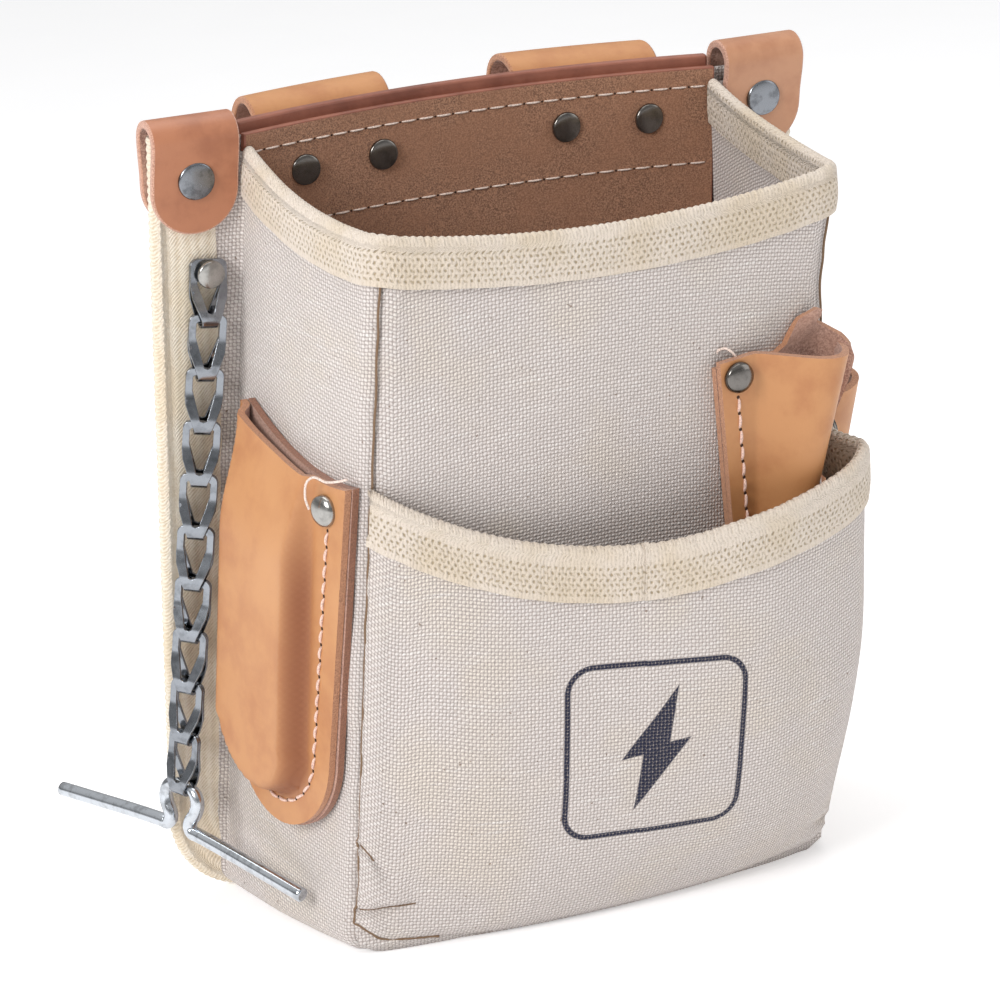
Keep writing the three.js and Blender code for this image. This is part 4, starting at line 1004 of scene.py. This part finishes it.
def mark_crease_shade(piece, crease_shade_at):
    """Store how dark the leather is painted at its creases, partly burnish and partly painted shade, found
    from the flat sheet's own coordinates.
    """
    mesh = piece.data
    flat = np.zeros(2 * len(mesh.loops))
    mesh.uv_layers["cloth"].data.foreach_get("uv", flat)
    amount = crease_shade_at(flat[0::2], flat[1::2])
    layer = mesh.uv_layers.new(name="crease")
    layer.data.foreach_set("uv", np.stack([amount, 0 * amount], -1).ravel())


def side_place(side, offset):
    """Bends a flat sheet to a side wall; offset(y, z) is how far its outer face stands off."""
    def place(a, b):
        return stack(side * (side_half(a, b) + offset(a, b)), a, b)
    return place


def make_knife_pocket():
    body = leather_sheet("knife_pocket", knife_outline(), side_place(-1, knife_face), LEFTWARDS,
                         [moulded_leather, tan_edge, tan_suede], spacing=1.2, edge_round=0.7)
    mark_crease_shade(body, knife_crease_shade)
    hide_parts("knife_pocket_body")
    place = side_place(-1, lambda y, z: LEATHER + SEW_GAP + 0 * y)
    backing = leather_sheet("knife_backing", knife_outline(0.6), place, LEFTWARDS,
                            [tan_suede, backing_edge, tan_suede], spacing=3.0)
    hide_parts("knife_pocket_backing")
    return [body, backing]


DRIVER_LOW, DRIVER_TOP, DRIVER_FOLD = 82, 171, 0.74
DRIVER_BULGE_LOW, DRIVER_BULGE_TOP = 5, 14


def driver_face(x, z):
    """How far the driver sleeve stands off: out from its stitched flange, then back at the right."""
    high = (z - DRIVER_LOW) / (DRIVER_TOP - DRIVER_LOW)
    left, right = lerp(48, 45.5, high), lerp(59, 76.5, high)
    across = np.clip((x - left) / (right - left), 0, 1)
    rise = np.sin(np.clip(across / DRIVER_FOLD, 0, 1) * np.pi / 2) ** 1.25
    back = np.sqrt(np.maximum(0, 1 - np.clip((across - DRIVER_FOLD) / (1 - DRIVER_FOLD), 0, 1) ** 2))
    return 2 * LEATHER + SEW_GAP + lerp(DRIVER_BULGE_LOW, DRIVER_BULGE_TOP, high) * rise * back


def front_place(offset):
    """Bends a flat sheet to the front wall; offset(x, z) is how far its outer face stands off."""
    def place(a, b):
        return stack(a, front_y(a, b) - offset(a, b), b)
    return place


def driver_outline(top):
    """The flat outline below a top edge, which is listed from left to right."""
    return [*reversed(top), (33.4, top[0][1] - 4), (42.5, 86), *arc((46.5, 86), 4, 180, 270, 5),
            *arc((56, 86), 4, 270, 360, 5), (top[-1][0], top[-1][1] - 1)]


def driver_curl(x, z):
    """The backing's right part comes forward to meet the sleeve's folded edge, and its tip curls over."""
    forward = 9 * smoothstep(x, 66, 78) ** 1.5
    tip = 3.0 * smoothstep(z, 170, 180) * np.exp(-((x - 67) / 4) ** 2)
    return LEATHER + forward * smoothstep(z, 100, 165) + tip


def make_driver_sleeve():
    top = [(33, 168), (55, 169), (58.4, 171), (60.3, 174.5), (62, 178), (64.5, 180), (68, 181.3),
           (69.6, 180.6), (69.2, 178.6), (67.9, 176.8), (70.5, 175), (74.3, 172.6), (77, 169.5), (78.4, 166)]
    backing = leather_sheet("driver_backing", driver_outline(top), front_place(driver_curl), FRONTWARDS,
                            [tan_suede, tan_edge, tan_suede], spacing=1.5)
    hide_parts("driver_sleeve_backing")
    top = [(33, 170.5), (45, 171.5), (55, 171), (66, 170.2), (78.4, 170)]
    body = leather_sheet("driver_sleeve", driver_outline(top), front_place(driver_face), FRONTWARDS,
                         [tan_leather, tan_edge, tan_suede], spacing=1.1)
    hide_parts("driver_sleeve_body")
    return [backing, body]


SLEEVE_LOW, SLEEVE_TOP = 64, 147
SLEEVE_BULGE_LOW, SLEEVE_BULGE_TOP = 5, 20.5


def sleeve_face(y, z):
    """How far the side sleeve's half cone stands off the wall."""
    high = (z - SLEEVE_LOW) / (SLEEVE_TOP - SLEEVE_LOW)
    away = (y - lerp(-8, -12, high)) / lerp(8, 14, high)
    bulge = lerp(SLEEVE_BULGE_LOW, SLEEVE_BULGE_TOP, high)
    return LEATHER + SEW_GAP + bulge * np.sqrt(np.maximum(0, 1 - away ** 2))


def make_side_sleeve():
    outline = [(-35, SLEEVE_TOP - 5), (-20, SLEEVE_LOW), (4, SLEEVE_LOW), (13, SLEEVE_TOP)]
    piece = leather_sheet("side_sleeve", outline, side_place(1, sleeve_face), RIGHTWARDS,
                          [tan_leather, tan_edge, tan_suede], spacing=1.3)
    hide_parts("side_sleeve_body")
    return [piece]


# ------------------------------ tabs and belt loops
TAB_WIDTH, TAB_LOW, TAB_TOP, TAB_CENTRE, TAB_ROUND = 27.4, 204.5, 239.4, 95.3, 13.5
TAB_MIDDLE_Y, TAB_OUTER, TAB_ROLL = 40.7, 5.1, 6.9


def bend_along(path, across):
    """Maps a flat strip onto a bent path of (y, z): a runs across in x, b along the path from its start."""
    path = np.array(path, float)

    def place(a, b):
        y, z = along_path(path, b).T
        x = across + a
        return stack(x, y + back_bow(x, z), z)
    return place, arc_lengths(path)[-1]


def make_tab(side, word):
    leaf = [(TAB_OUTER, TAB_LOW), (TAB_OUTER, 217), (TAB_OUTER + 0.3, 222), (TAB_ROLL - 0.3, 229)]
    path = [*[(TAB_MIDDLE_Y - y, z) for y, z in leaf],
            *arc((TAB_MIDDLE_Y, TAB_TOP - TAB_ROLL), TAB_ROLL, 180, 0, 25),
            *[(TAB_MIDDLE_Y + y, z) for y, z in reversed(leaf)]]
    place, length = bend_along(path, side * TAB_CENTRE)
    side_x, end = TAB_WIDTH / 2 - TAB_ROUND, length - TAB_ROUND
    outline = []
    corners = ((side_x, TAB_ROUND), (-side_x, TAB_ROUND), (-side_x, end), (side_x, end))
    for corner, start in zip(corners, (360, 270, 180, 90)):
        outline += arc(corner, TAB_ROUND, start, start - 90)
    piece = leather_sheet(f"corner_tab_{word}_leather", outline, place, UPWARDS,
                          # Painted shade on the left tab and painted light on the right tab, by side.
                          [tab_leather if side < 0 else tab_leather_painted_lit, tab_edge, tan_suede], 2.4,
                          spacing=1.3, edge_round=0.6)
    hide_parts(f"corner_tab_{word}")
    return piece


LOOP_WIDTH, LOOP_CENTRE, LOOP_SHIFT, LOOP_TOP, TUNNEL = 47.5, 44.5, -2, 237, 17


def make_loop(side, word):
    half = TUNNEL / 2 + LEATHER
    near, strap = BACK_Y + 7.9, BACK_Y + 5.2 + LEATHER
    far = near + 2 * half
    path = [(near, 196), (near, LOOP_TOP - half), *arc((near + half, LOOP_TOP - half), half, 180, 0, 25),
            (far, 172), (far - 1.2, 166), (far - 5, 161), (strap + half, 158.5), (strap + 3.4, 156),
            (strap + 1.2, 153), (strap + 0.4, 149), (strap + 0.4, 134)]
    place, length = bend_along(path, side * LOOP_CENTRE + LOOP_SHIFT)
    outline = [(-LOOP_WIDTH / 2, 0), (LOOP_WIDTH / 2, 0), (LOOP_WIDTH / 2, length), (-LOOP_WIDTH / 2, length)]
    piece = leather_sheet(f"belt_loop_{word}_leather", outline, place, BACKWARDS,
                          [tan_leather, tan_edge, tan_suede], edge_round=0.6)
    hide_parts(f"belt_loop_{word}")
    return piece


# ------------------------------ rivets
def lathe(profile, sides=40):
    """Vertices and faces of a turned shape about z; its profile starts and ends on the axis."""
    angles = np.linspace(0, 2 * np.pi, sides, endpoint=False)
    inner = np.array(profile[1:-1], float)
    rings = stack(inner[:, 0:1] * np.cos(angles), inner[:, 0:1] * np.sin(angles), inner[:, 1:2])
    vertices = np.concatenate([rings.reshape(-1, 3), [[0, 0, profile[0][1]], [0, 0, profile[-1][1]]]])
    first, last = len(vertices) - 2, len(vertices) - 1
    base = (len(inner) - 1) * sides
    faces = [tuple(reversed(f)) for f in grid_faces(len(inner), sides, wrap=True)]
    faces += [(first, i, (i + 1) % sides) for i in range(sides)]
    faces += [(last, base + (i + 1) % sides, base + i) for i in range(sides)]
    return vertices, faces


LOOP_RIVETS = ((217.7, "upper", 10.2), (146, "lower", 9.6))
LOOP_RIVET_SPREAD = 13.5
TAB_RIVET_Z = 221
KNIFE_RIVET, DRIVER_RIVET, SLEEVE_RIVET = (-27.5, 138), (39.3, 165.5), (-31, 135)


def rivet_profile(cap, dome, grip):
    """A domed cap with a rolled rim, its shank, and a washer behind the layers."""
    edge, lip = 1.0, 0.35
    top = [(cap * math.sin(t), edge + dome * math.cos(t)) for t in np.linspace(0, math.pi / 2 * 0.8, 10)]
    rim = [(cap * 0.985, edge * 0.8), (cap, edge * 0.5), (cap * 0.98, 0.12), (cap * 0.93, 0.0)]
    back = [(1.6, 0.0), (1.6, -grip), (cap * 0.8, -grip - 0.05), (cap * 0.8, -grip - lip),
            (cap * 0.6, -grip - 0.8)]
    return [*top, *rim, *back, (0, -grip - 0.9)]


def facing_out(vertices, outward):
    """Points drawn about z, turned so that z points outward."""
    return vertices @ np.array(Vector((0, 0, 1)).rotation_difference(Vector(outward)).to_matrix()).T


def make_rivet(node, point, outward, cap, dome, grip, material):
    vertices, faces = lathe(rivet_profile(cap, dome, grip))
    placed = facing_out(vertices, outward) + np.array(point)
    piece = new_object(f"{node}_smooth", stand(placed), faces, materials=[material])
    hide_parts(node)
    return piece


def make_rivets():
    pieces = []
    for side, word in ((-1, "left"), (1, "right")):
        for z, height, grip in LOOP_RIVETS:
            for spread, place in ((side, "outer"), (-side, "inner")):
                x = side * LOOP_CENTRE + spread * LOOP_RIVET_SPREAD
                point = (x, float(BACK_Y + back_bow(x, z)), z)
                pieces.append(make_rivet(f"belt_loop_{word}_rivet_{height}_{place}", point, (0, -1, 0.02),
                                         RIVET_SMALL, 0.8, grip, dark_nickel))
        point = (side * TAB_CENTRE, TAB_MIDDLE_Y - TAB_OUTER, TAB_RIVET_Z)
        pieces.append(make_rivet(f"corner_tab_{word}_rivet", point, FRONTWARDS, 0.92 * RIVET_LARGE, 0.9,
                                 2 * TAB_OUTER, tab_nickel))
    knife = (-float(side_half(*KNIFE_RIVET) + 2 * LEATHER + 0.7), *KNIFE_RIVET)
    driver = (DRIVER_RIVET[0], float(front_y(*DRIVER_RIVET) - 2 * LEATHER - 0.4), DRIVER_RIVET[1])
    sleeve = (float(side_half(*SLEEVE_RIVET) + LEATHER + 0.8), *SLEEVE_RIVET)
    for name, point, outward, dome, grip, metal in (
            ("knife_pocket", knife, (-1, -0.35, 0.05), 2.2, 6.5, nickel),
            ("driver_sleeve", driver, (0.05, -1, 0), 1.9, 6.5, dark_nickel),
            ("side_sleeve", sleeve, (1, -0.05, 0), 1.5, 4.5, dark_nickel)):
        pieces.append(make_rivet(f"{name}_rivet", point, outward, RIVET_SMALL, dome, grip, metal))
    return pieces


# ------------------------------ chain
CHAIN_LINKS = 10
PITCH = 16.5
STRIP = 0.9
LINK_HALF, FOLD_HALF, FOLD_RADIUS, BAR = 5.7, 2.5, 2.3, 2.2
YAW_FIRST, YAW_LAST, TOGGLE_YAW = math.radians(-4), math.radians(-64), math.radians(-69)
CHAIN_TOP = (-93.5, 33.6, 179)
CHAIN_LEAN_OUT, CHAIN_LEAN_FORWARD, FIRST_TILT = math.radians(5.7), math.radians(1.7), math.radians(8)
FIRST_PLATE = 4.2
WIRE = 2.25


def chain_frame(number):
    """Matrix from a link's own frame, its top bar at the origin, to the upright drawing."""
    hang = (Matrix.Translation(CHAIN_TOP) @ Matrix.Rotation(CHAIN_LEAN_OUT, 4, "Y")
            @ Matrix.Rotation(-CHAIN_LEAN_FORWARD, 4, "X"))
    yaw = TOGGLE_YAW if number > CHAIN_LINKS else lerp(YAW_FIRST, YAW_LAST, (number - 1) / (CHAIN_LINKS - 1))
    if number == 1:
        hang = hang @ Matrix.Rotation(-FIRST_TILT, 4, "X")
        drop = PITCH
    else:
        drop = -(number - 2) * PITCH
    return hang @ Matrix.Translation((0, 0, drop)) @ Matrix.Rotation(yaw, 4, "Z")


def in_chain(points, number):
    """Points of a link's own frame, in mm, in the standing pouch's frame, in metres."""
    matrix = np.array(chain_frame(number))
    return stand(np.asarray(points) @ matrix[:3, :3].T + matrix[:3, 3])


def link_path():
    """Side view (y, z) of the folded strip, from one leaf's top round the fold to the other's."""
    middle = FOLD_RADIUS + STRIP / 2
    leaf = [(STRIP * 0.52, BAR / 2), (STRIP * 0.52, -0.36 * PITCH), (STRIP * 0.75, -0.45 * PITCH),
            (middle * 0.93, -PITCH + 2.2)]
    return [*leaf, *arc((0, -PITCH), middle, 0, -180, 17), *[(-y, z) for y, z in reversed(leaf)]]


def link_outline(length, plate):
    """The strip's flat outline and its two eyes; the fold is at the middle of its length."""
    middle = length / 2
    shoulder, waist = middle - 0.62 * PITCH, middle - 0.30 * PITCH

    def side(sign, mirrored):
        points = [*arc((LINK_HALF - 2.4, 2.4), 2.4, -90, 0, 6), (LINK_HALF, shoulder * 0.75),
                  (LINK_HALF * 0.93, shoulder), (FOLD_HALF + 0.9, waist), (FOLD_HALF, waist + 2.2)]
        return [(sign * x, length - b if mirrored else b) for x, b in points]
    right = [*side(1, False), *reversed(side(1, True))]
    left = [(-x, b) for x, b in reversed(right)]
    inner = LINK_HALF - BAR
    top = BAR + plate
    wide_end = max(BAR + 4.6, top + 1)
    eye = [(-inner + 0.6, top), (inner - 0.6, top), (inner, top + 0.6), (inner, wide_end), (1.0, waist - 1.2),
           (0, waist - 0.8), (-1.0, waist - 1.2), (-inner, wide_end), (-inner, top + 0.6)]
    return [*right, *left], [eye, [(x, length - b) for x, b in reversed(eye)]]


def make_link(number):
    path = np.array(link_path())
    outline, eyes = link_outline(arc_lengths(path)[-1], FIRST_PLATE if number == 1 else 0)
    flat, triangles = cut_sheet(outline, 0.7, eyes)
    bent = stack(flat[:, 0], *along_path(path, flat[:, 1]).T)
    piece = new_object(f"link_{number:02d}_strip", in_chain(bent, number), triangles, flat, [zinc])
    thickened(piece, STRIP, 0.22, offset=0)
    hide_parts(f"chain_link_{number:02d}")
    return piece


def smooth_path(points, steps=10):
    """A Catmull-Rom curve through points."""
    p = np.array([points[0], *points, points[-1]], float)
    t = np.linspace(0, 1, steps, endpoint=False)[:, None]
    spans = [0.5 * (2 * b + (c - a) * t + (2 * a - 5 * b + 4 * c - d) * t ** 2
                    + (3 * b - a - 3 * c + d) * t ** 3) for a, b, c, d in zip(p, p[1:], p[2:], p[3:])]
    return np.concatenate([*spans, [p[-1]]])


def make_toggle():
    arm, eye, droop = 53, 13.5, 5
    half = [(0, 0), (3, -0.1), (5.8, -1.6), (6.9, -4.6), (6.2, -7.6), (4.6, -10.2), (4.2, -12.4),
            (5.6, -eye - 0.6), (8.6, -eye - 0.7), (arm * 0.4, -eye - droop * 0.35),
            (arm * 0.65, -eye - droop * 0.62), (arm, -eye - droop)]
    line = [(-x, 0, z) for x, z in reversed(half[1:])] + [(x, 0, z) for x, z in half]
    path = smooth_path(line)
    taper = 1 - 0.32 * np.exp(-(np.linalg.norm(path, axis=1) / 5.5) ** 2)
    ends = np.concatenate([[path[0]], path, [path[-1]]])
    taper = np.concatenate([[0.8], taper, [0.8]])
    ends[0] = path[0] - unit(path[1] - path[0]) * 0.35
    ends[-1] = path[-1] + unit(path[-1] - path[-2]) * 0.35
    vertices, faces = swept(ends, WIRE, 20, taper)
    piece = new_object("toggle_bar", in_chain(vertices, CHAIN_LINKS + 1), faces, materials=[zinc_wire])
    for end in piece.data.polygons[len(faces) - 2:]:
        end.use_smooth = False
    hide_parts("chain_toggle")
    return piece


def make_chain_rivet():
    centre = chain_frame(1) @ Vector((0, 0, -(BAR / 2 + 0.3 + 1.6)))
    return make_rivet("chain_rivet", (centre.x, centre.y - 1.9, centre.z), FRONTWARDS, RIVET_CHAIN, 0.8,
                      11.0, nickel)


# ------------------------------ stitching
STITCH_GAP, STITCH_SHARE, STITCH_SINK = 0.09, 0.82, 0.2
BACK_PITCH, BACK_THREAD = 6.0, 0.33
LEATHER_PITCH, LEATHER_THREAD, LEATHER_SLANT = 5.2, 0.5, 0.5
SEAM_INSET = 7.5


def along_path_of(path, directions, distances):
    """Directions given at a path's points, at distances along it."""
    lengths = arc_lengths(path)
    return unit(np.stack([np.interp(distances, lengths, directions[:, k]) for k in range(3)], -1))


def make_stitches(name, path, outward, pitch, thread, radius, slant=0.0):
    """A seam of separate stitches along a path in mm, each sinking into a hole at both its ends."""
    outward = np.broadcast_to(np.asarray(outward, float), path.shape)
    shape = np.linspace(0, 1, 7)
    arch = np.sin(np.pi * shape) ** 0.5
    rise = radius * 0.75 * arch - STITCH_SINK * (1 - arch)
    parts = []
    for index in range(int(arc_lengths(path)[-1] / pitch)):
        spots = (index + STITCH_GAP) * pitch + shape * pitch * STITCH_SHARE
        points, normals = along_path(path, spots), along_path_of(path, outward, spots)
        across = unit(np.cross(unit(np.gradient(points, axis=0)), normals))
        points = points + normals * rise[:, None] + across * (slant * (shape - 0.5))[:, None]
        parts.append((*swept(points, radius, 8, 0.55 + 0.45 * arch), 0))
        # A small dark disc of painted shade marks each stitch hole.
        disc, disc_faces = lathe([(0, 0.12), (radius * 1.05, 0.1), (radius * 1.25, -0.3), (0, -0.3)], 10)
        spot = np.array([index * pitch])
        parts.append((facing_out(disc, along_path_of(path, outward, spot)[0]) + along_path(path, spot)[0],
                      disc_faces, 1))
    vertices, faces, indices = merged(parts)
    piece = new_object(name, stand(vertices), faces, materials=[thread, hole_shade], indices=indices)
    return piece


def make_back_stitches():
    x = np.linspace(-BACK_HALF + 1, BACK_HALF + 2, 120)
    rows = (("upper", BACK_TOP - 7.5), ("lower", BACK_TOP - 32))
    return [make_stitches(f"back_stitches_{row}", back_place(BACK_Y)(x, z + 0 * x), FRONTWARDS, BACK_PITCH,
                          white_thread, BACK_THREAD) for row, z in rows]


def make_leather_stitches():
    """The seams that hold the knife pocket and the two sleeves, as lines on their flat sheets."""
    z = np.linspace(132, KNIFE_ROUND_Z, 30)
    edge = lerp(KNIFE_FRONT, KNIFE_ROUND_Y - KNIFE_ROUND, (149 - z) / 90)
    straight = np.stack([edge + SEAM_INSET, z], -1)
    bend = arc((KNIFE_ROUND_Y, KNIFE_ROUND_Z), KNIFE_ROUND - SEAM_INSET, 180, 305, 30)[1:]
    knife = np.concatenate([straight, bend])
    driver = np.linspace((39.6, 159), (47, 90), 40)
    sleeve = np.linspace((-29.5, 129), (-17.5, 70), 30)
    seams = (("knife", knife, side_place(-1, knife_face), LEFTWARDS),
             ("driver", driver, front_place(driver_face), FRONTWARDS),
             ("side_sleeve", sleeve, side_place(1, sleeve_face), RIGHTWARDS))
    return [make_stitches(f"{name}_stitches", place(*line.T), outward, LEATHER_PITCH, pink_thread,
                          LEATHER_THREAD, LEATHER_SLANT) for name, line, place, outward in seams]


def wobble(length):
    return 0.35 * np.stack([rough(stack(length, 0, shift), 6, 21) for shift in (0, 50, 100)], -1)


# A thin round tube along points: a real loose thread, or a line of painted shadow in a seam or pleat.
def make_thread_or_shadow_line(name, points, radius, material):
    vertices, faces = swept(points, radius, 8)
    piece = new_object(name, stand(vertices), faces, materials=[material])
    return piece


def make_seam_shadow_lines():
    """Thin dark lines of painted shadow in the seams and pleats, where the cloth's turned edges meet."""
    pieces = []
    for side, word in ((-1, "left"), (1, "right")):
        z = np.linspace(POCKET_TOP - 12, RIM_HEIGHT - 8, 60)
        line = body_point(2.5 + side * (0.5 + WRAP) + 0 * z, z, -0.2) + wobble(z)
        pieces.append(make_thread_or_shadow_line(f"front_seam_shadow_{word}", line, 0.38, seam_shadow))
        z = np.linspace(POCKET_TOP - 4, float(pocket_low(side * 1.0)), 90)
        down = pocket_surface(side + 0 * z, z, 0.9)
        column = side * np.linspace(1, 0.72 if side < 0 else 0.97, 50)
        under = pocket_surface(column, pocket_low(column), CANVAS - 0.15) - [0, 0, 0.1]
        line = np.concatenate([down, under[1:]])
        line = line + wobble(np.arange(len(line)) * 1.3)
        pieces.append(make_thread_or_shadow_line(f"pocket_seam_shadow_{word}", line, 0.42, seam_shadow))
    for number, (start, end) in enumerate((((-81, 12), (-66, 14.2)), ((-81, 33.5), (-78, 29))), 1):
        across, z = np.linspace(start, end, 20).T
        fold = pocket_surface(across / FRONT_HALF_LOW, z, 1.35) + wobble(np.arange(20.0))
        pieces.append(make_thread_or_shadow_line(f"pleat_shadow_{number}", fold, 0.25, seam_shadow))
    return pieces


def make_loose_threads():
    """Ends of thread that stand up by two rivets."""
    ends = {"knife": [(-89.4, -28.0, 139.5), (-90.2, -27.2, 143), (-89.4, -26.4, 147.0),
                      (-87.4, -27.5, 148.8), (-85.4, -31.0, 148.2), (-83.5, -35.5, 149.6),
                      (-82.0, -38.5, 151.0)],
            "driver": [(40.5, -46.9, 169.5), (38.4, -47.6, 172.5), (36.2, -46.6, 174.0), (34.6, -44.8, 172.4),
                       (36.0, -44.4, 169.0)]}
    return [make_thread_or_shadow_line(f"{name}_loose_thread", smooth_path(points, 6), 0.38, white_thread)
            for name, points in ends.items()]


# ------------------------------ stage, light and camera
FLOOR_SIZE = 12


def make_stage():
    bpy.ops.mesh.primitive_plane_add(size=FLOOR_SIZE, location=(0, 0, 0))
    floor = bpy.context.object
    floor.name = "floor"
    floor.data.materials.append(floor_paint)


def add_light(name, location, size, watts):
    light = bpy.data.lights.new(name, "AREA")
    light.size = size
    light.energy = watts
    holder = bpy.data.objects.new(name, light)
    holder.location = location
    holder.rotation_euler = (Vector(LIGHT_TARGET) - Vector(location)).to_track_quat("-Z", "Y").to_euler()
    bpy.context.scene.collection.objects.link(holder)


# Grey of the studio round the pouch, by height from straight down (0) to straight up (1).
SKY_STOPS = ((0.0, 0.85), (0.1, 0.6), (0.25, 0.4), (0.42, 0.85), (0.7, 0.95), (1.0, 1.0))
SKY_STRENGTH = 0.66
# Name, place and size in metres, and power in watts.
LIGHTS = (("key", (-1.5, -0.75, 1.0), 0.7, 20), ("fill", (1.4, -0.9, 0.7), 1.0, 4.5),
          ("top", (0.0, 0.2, 1.6), 1.2, 10))
LIGHT_TARGET = (0, 0, 0.12)


def make_light():
    world = bpy.data.worlds.new("studio")
    world.use_nodes = True
    tree = world.node_tree
    background = tree.nodes["Background"]
    direction = tree.nodes.new("ShaderNodeTexCoord")
    split = tree.nodes.new("ShaderNodeSeparateXYZ")
    ramp = tree.nodes.new("ShaderNodeValToRGB")
    while len(ramp.color_ramp.elements) < len(SKY_STOPS):
        ramp.color_ramp.elements.new(0.5)
    for element, (place, value) in zip(ramp.color_ramp.elements, SKY_STOPS):
        element.position = place
        element.color = (value, value, value, 1)
    tree.links.new(direction.outputs["Generated"], split.inputs[0])
    tree.links.new(split.outputs["Z"], ramp.inputs["Fac"])
    tree.links.new(ramp.outputs["Color"], background.inputs["Color"])
    background.inputs["Strength"].default_value = SKY_STRENGTH
    bpy.context.scene.world = world
    for name, location, size, watts in LIGHTS:
        add_light(name, location, size, watts)


CAMERA_PLACE = (-532.8, -1031.6, 583.8)
CAMERA_YAW, CAMERA_PITCH, CAMERA_ROLL = math.radians(-26.697), math.radians(21.945), math.radians(-0.078)
CAMERA_LENS = 148.45


def make_camera():
    """Placed about the upright drawing, then turned with the pouch."""
    data = bpy.data.cameras.new("camera")
    data.lens = CAMERA_LENS
    data.sensor_width = 36
    data.clip_end = 20
    camera = bpy.data.objects.new("camera", data)
    upright = (Matrix.Rotation(CAMERA_YAW, 3, "Z") @ Matrix.Rotation(math.pi / 2 - CAMERA_PITCH, 3, "X")
               @ Matrix.Rotation(CAMERA_ROLL, 3, "Z"))
    turned = (Matrix.Rotation(LEAN, 3, "X") @ upright).to_4x4()
    camera.matrix_world = Matrix.Translation(Vector(stand(CAMERA_PLACE))) @ turned
    bpy.context.scene.collection.objects.link(camera)
    bpy.context.scene.camera = camera


# ------------------------------ putting it together
make_camera()
make_light()
make_stage()
bpy.context.scene.view_settings.view_transform = "Standard"

pieces = [*make_back(), make_gusset(), make_front(), make_pocket()]
pieces += [
    make_tape("rim_tape", "rim_binding", rim_place, UPWARDS, 315, RIM_TAPE, knit_tape),
    make_tape("pocket_tape", "front_pocket_binding", pocket_place, UPWARDS, 195, POCKET_TAPE, knit_tape),
    make_tape("flange_tape", "flange_binding", flange_place, DOWNWARDS, 640, FLANGE_TAPE, woven_tape,
              room=2.4)]
pieces += [*make_knife_pocket(), *make_driver_sleeve(), *make_side_sleeve()]
for side_sign, side_word in ((-1, "left"), (1, "right")):
    pieces.append(make_tab(side_sign, side_word))
    pieces.append(make_loop(side_sign, side_word))
pieces += [*make_rivets(), make_chain_rivet(), *make_back_stitches(), *make_leather_stitches(),
           *make_seam_shadow_lines(), *make_loose_threads()]
for piece in pieces:
    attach(piece, "pouch")
for count in range(1, CHAIN_LINKS + 1):
    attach(make_link(count), f"link_{count:02d}")
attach(make_toggle(), "toggle")
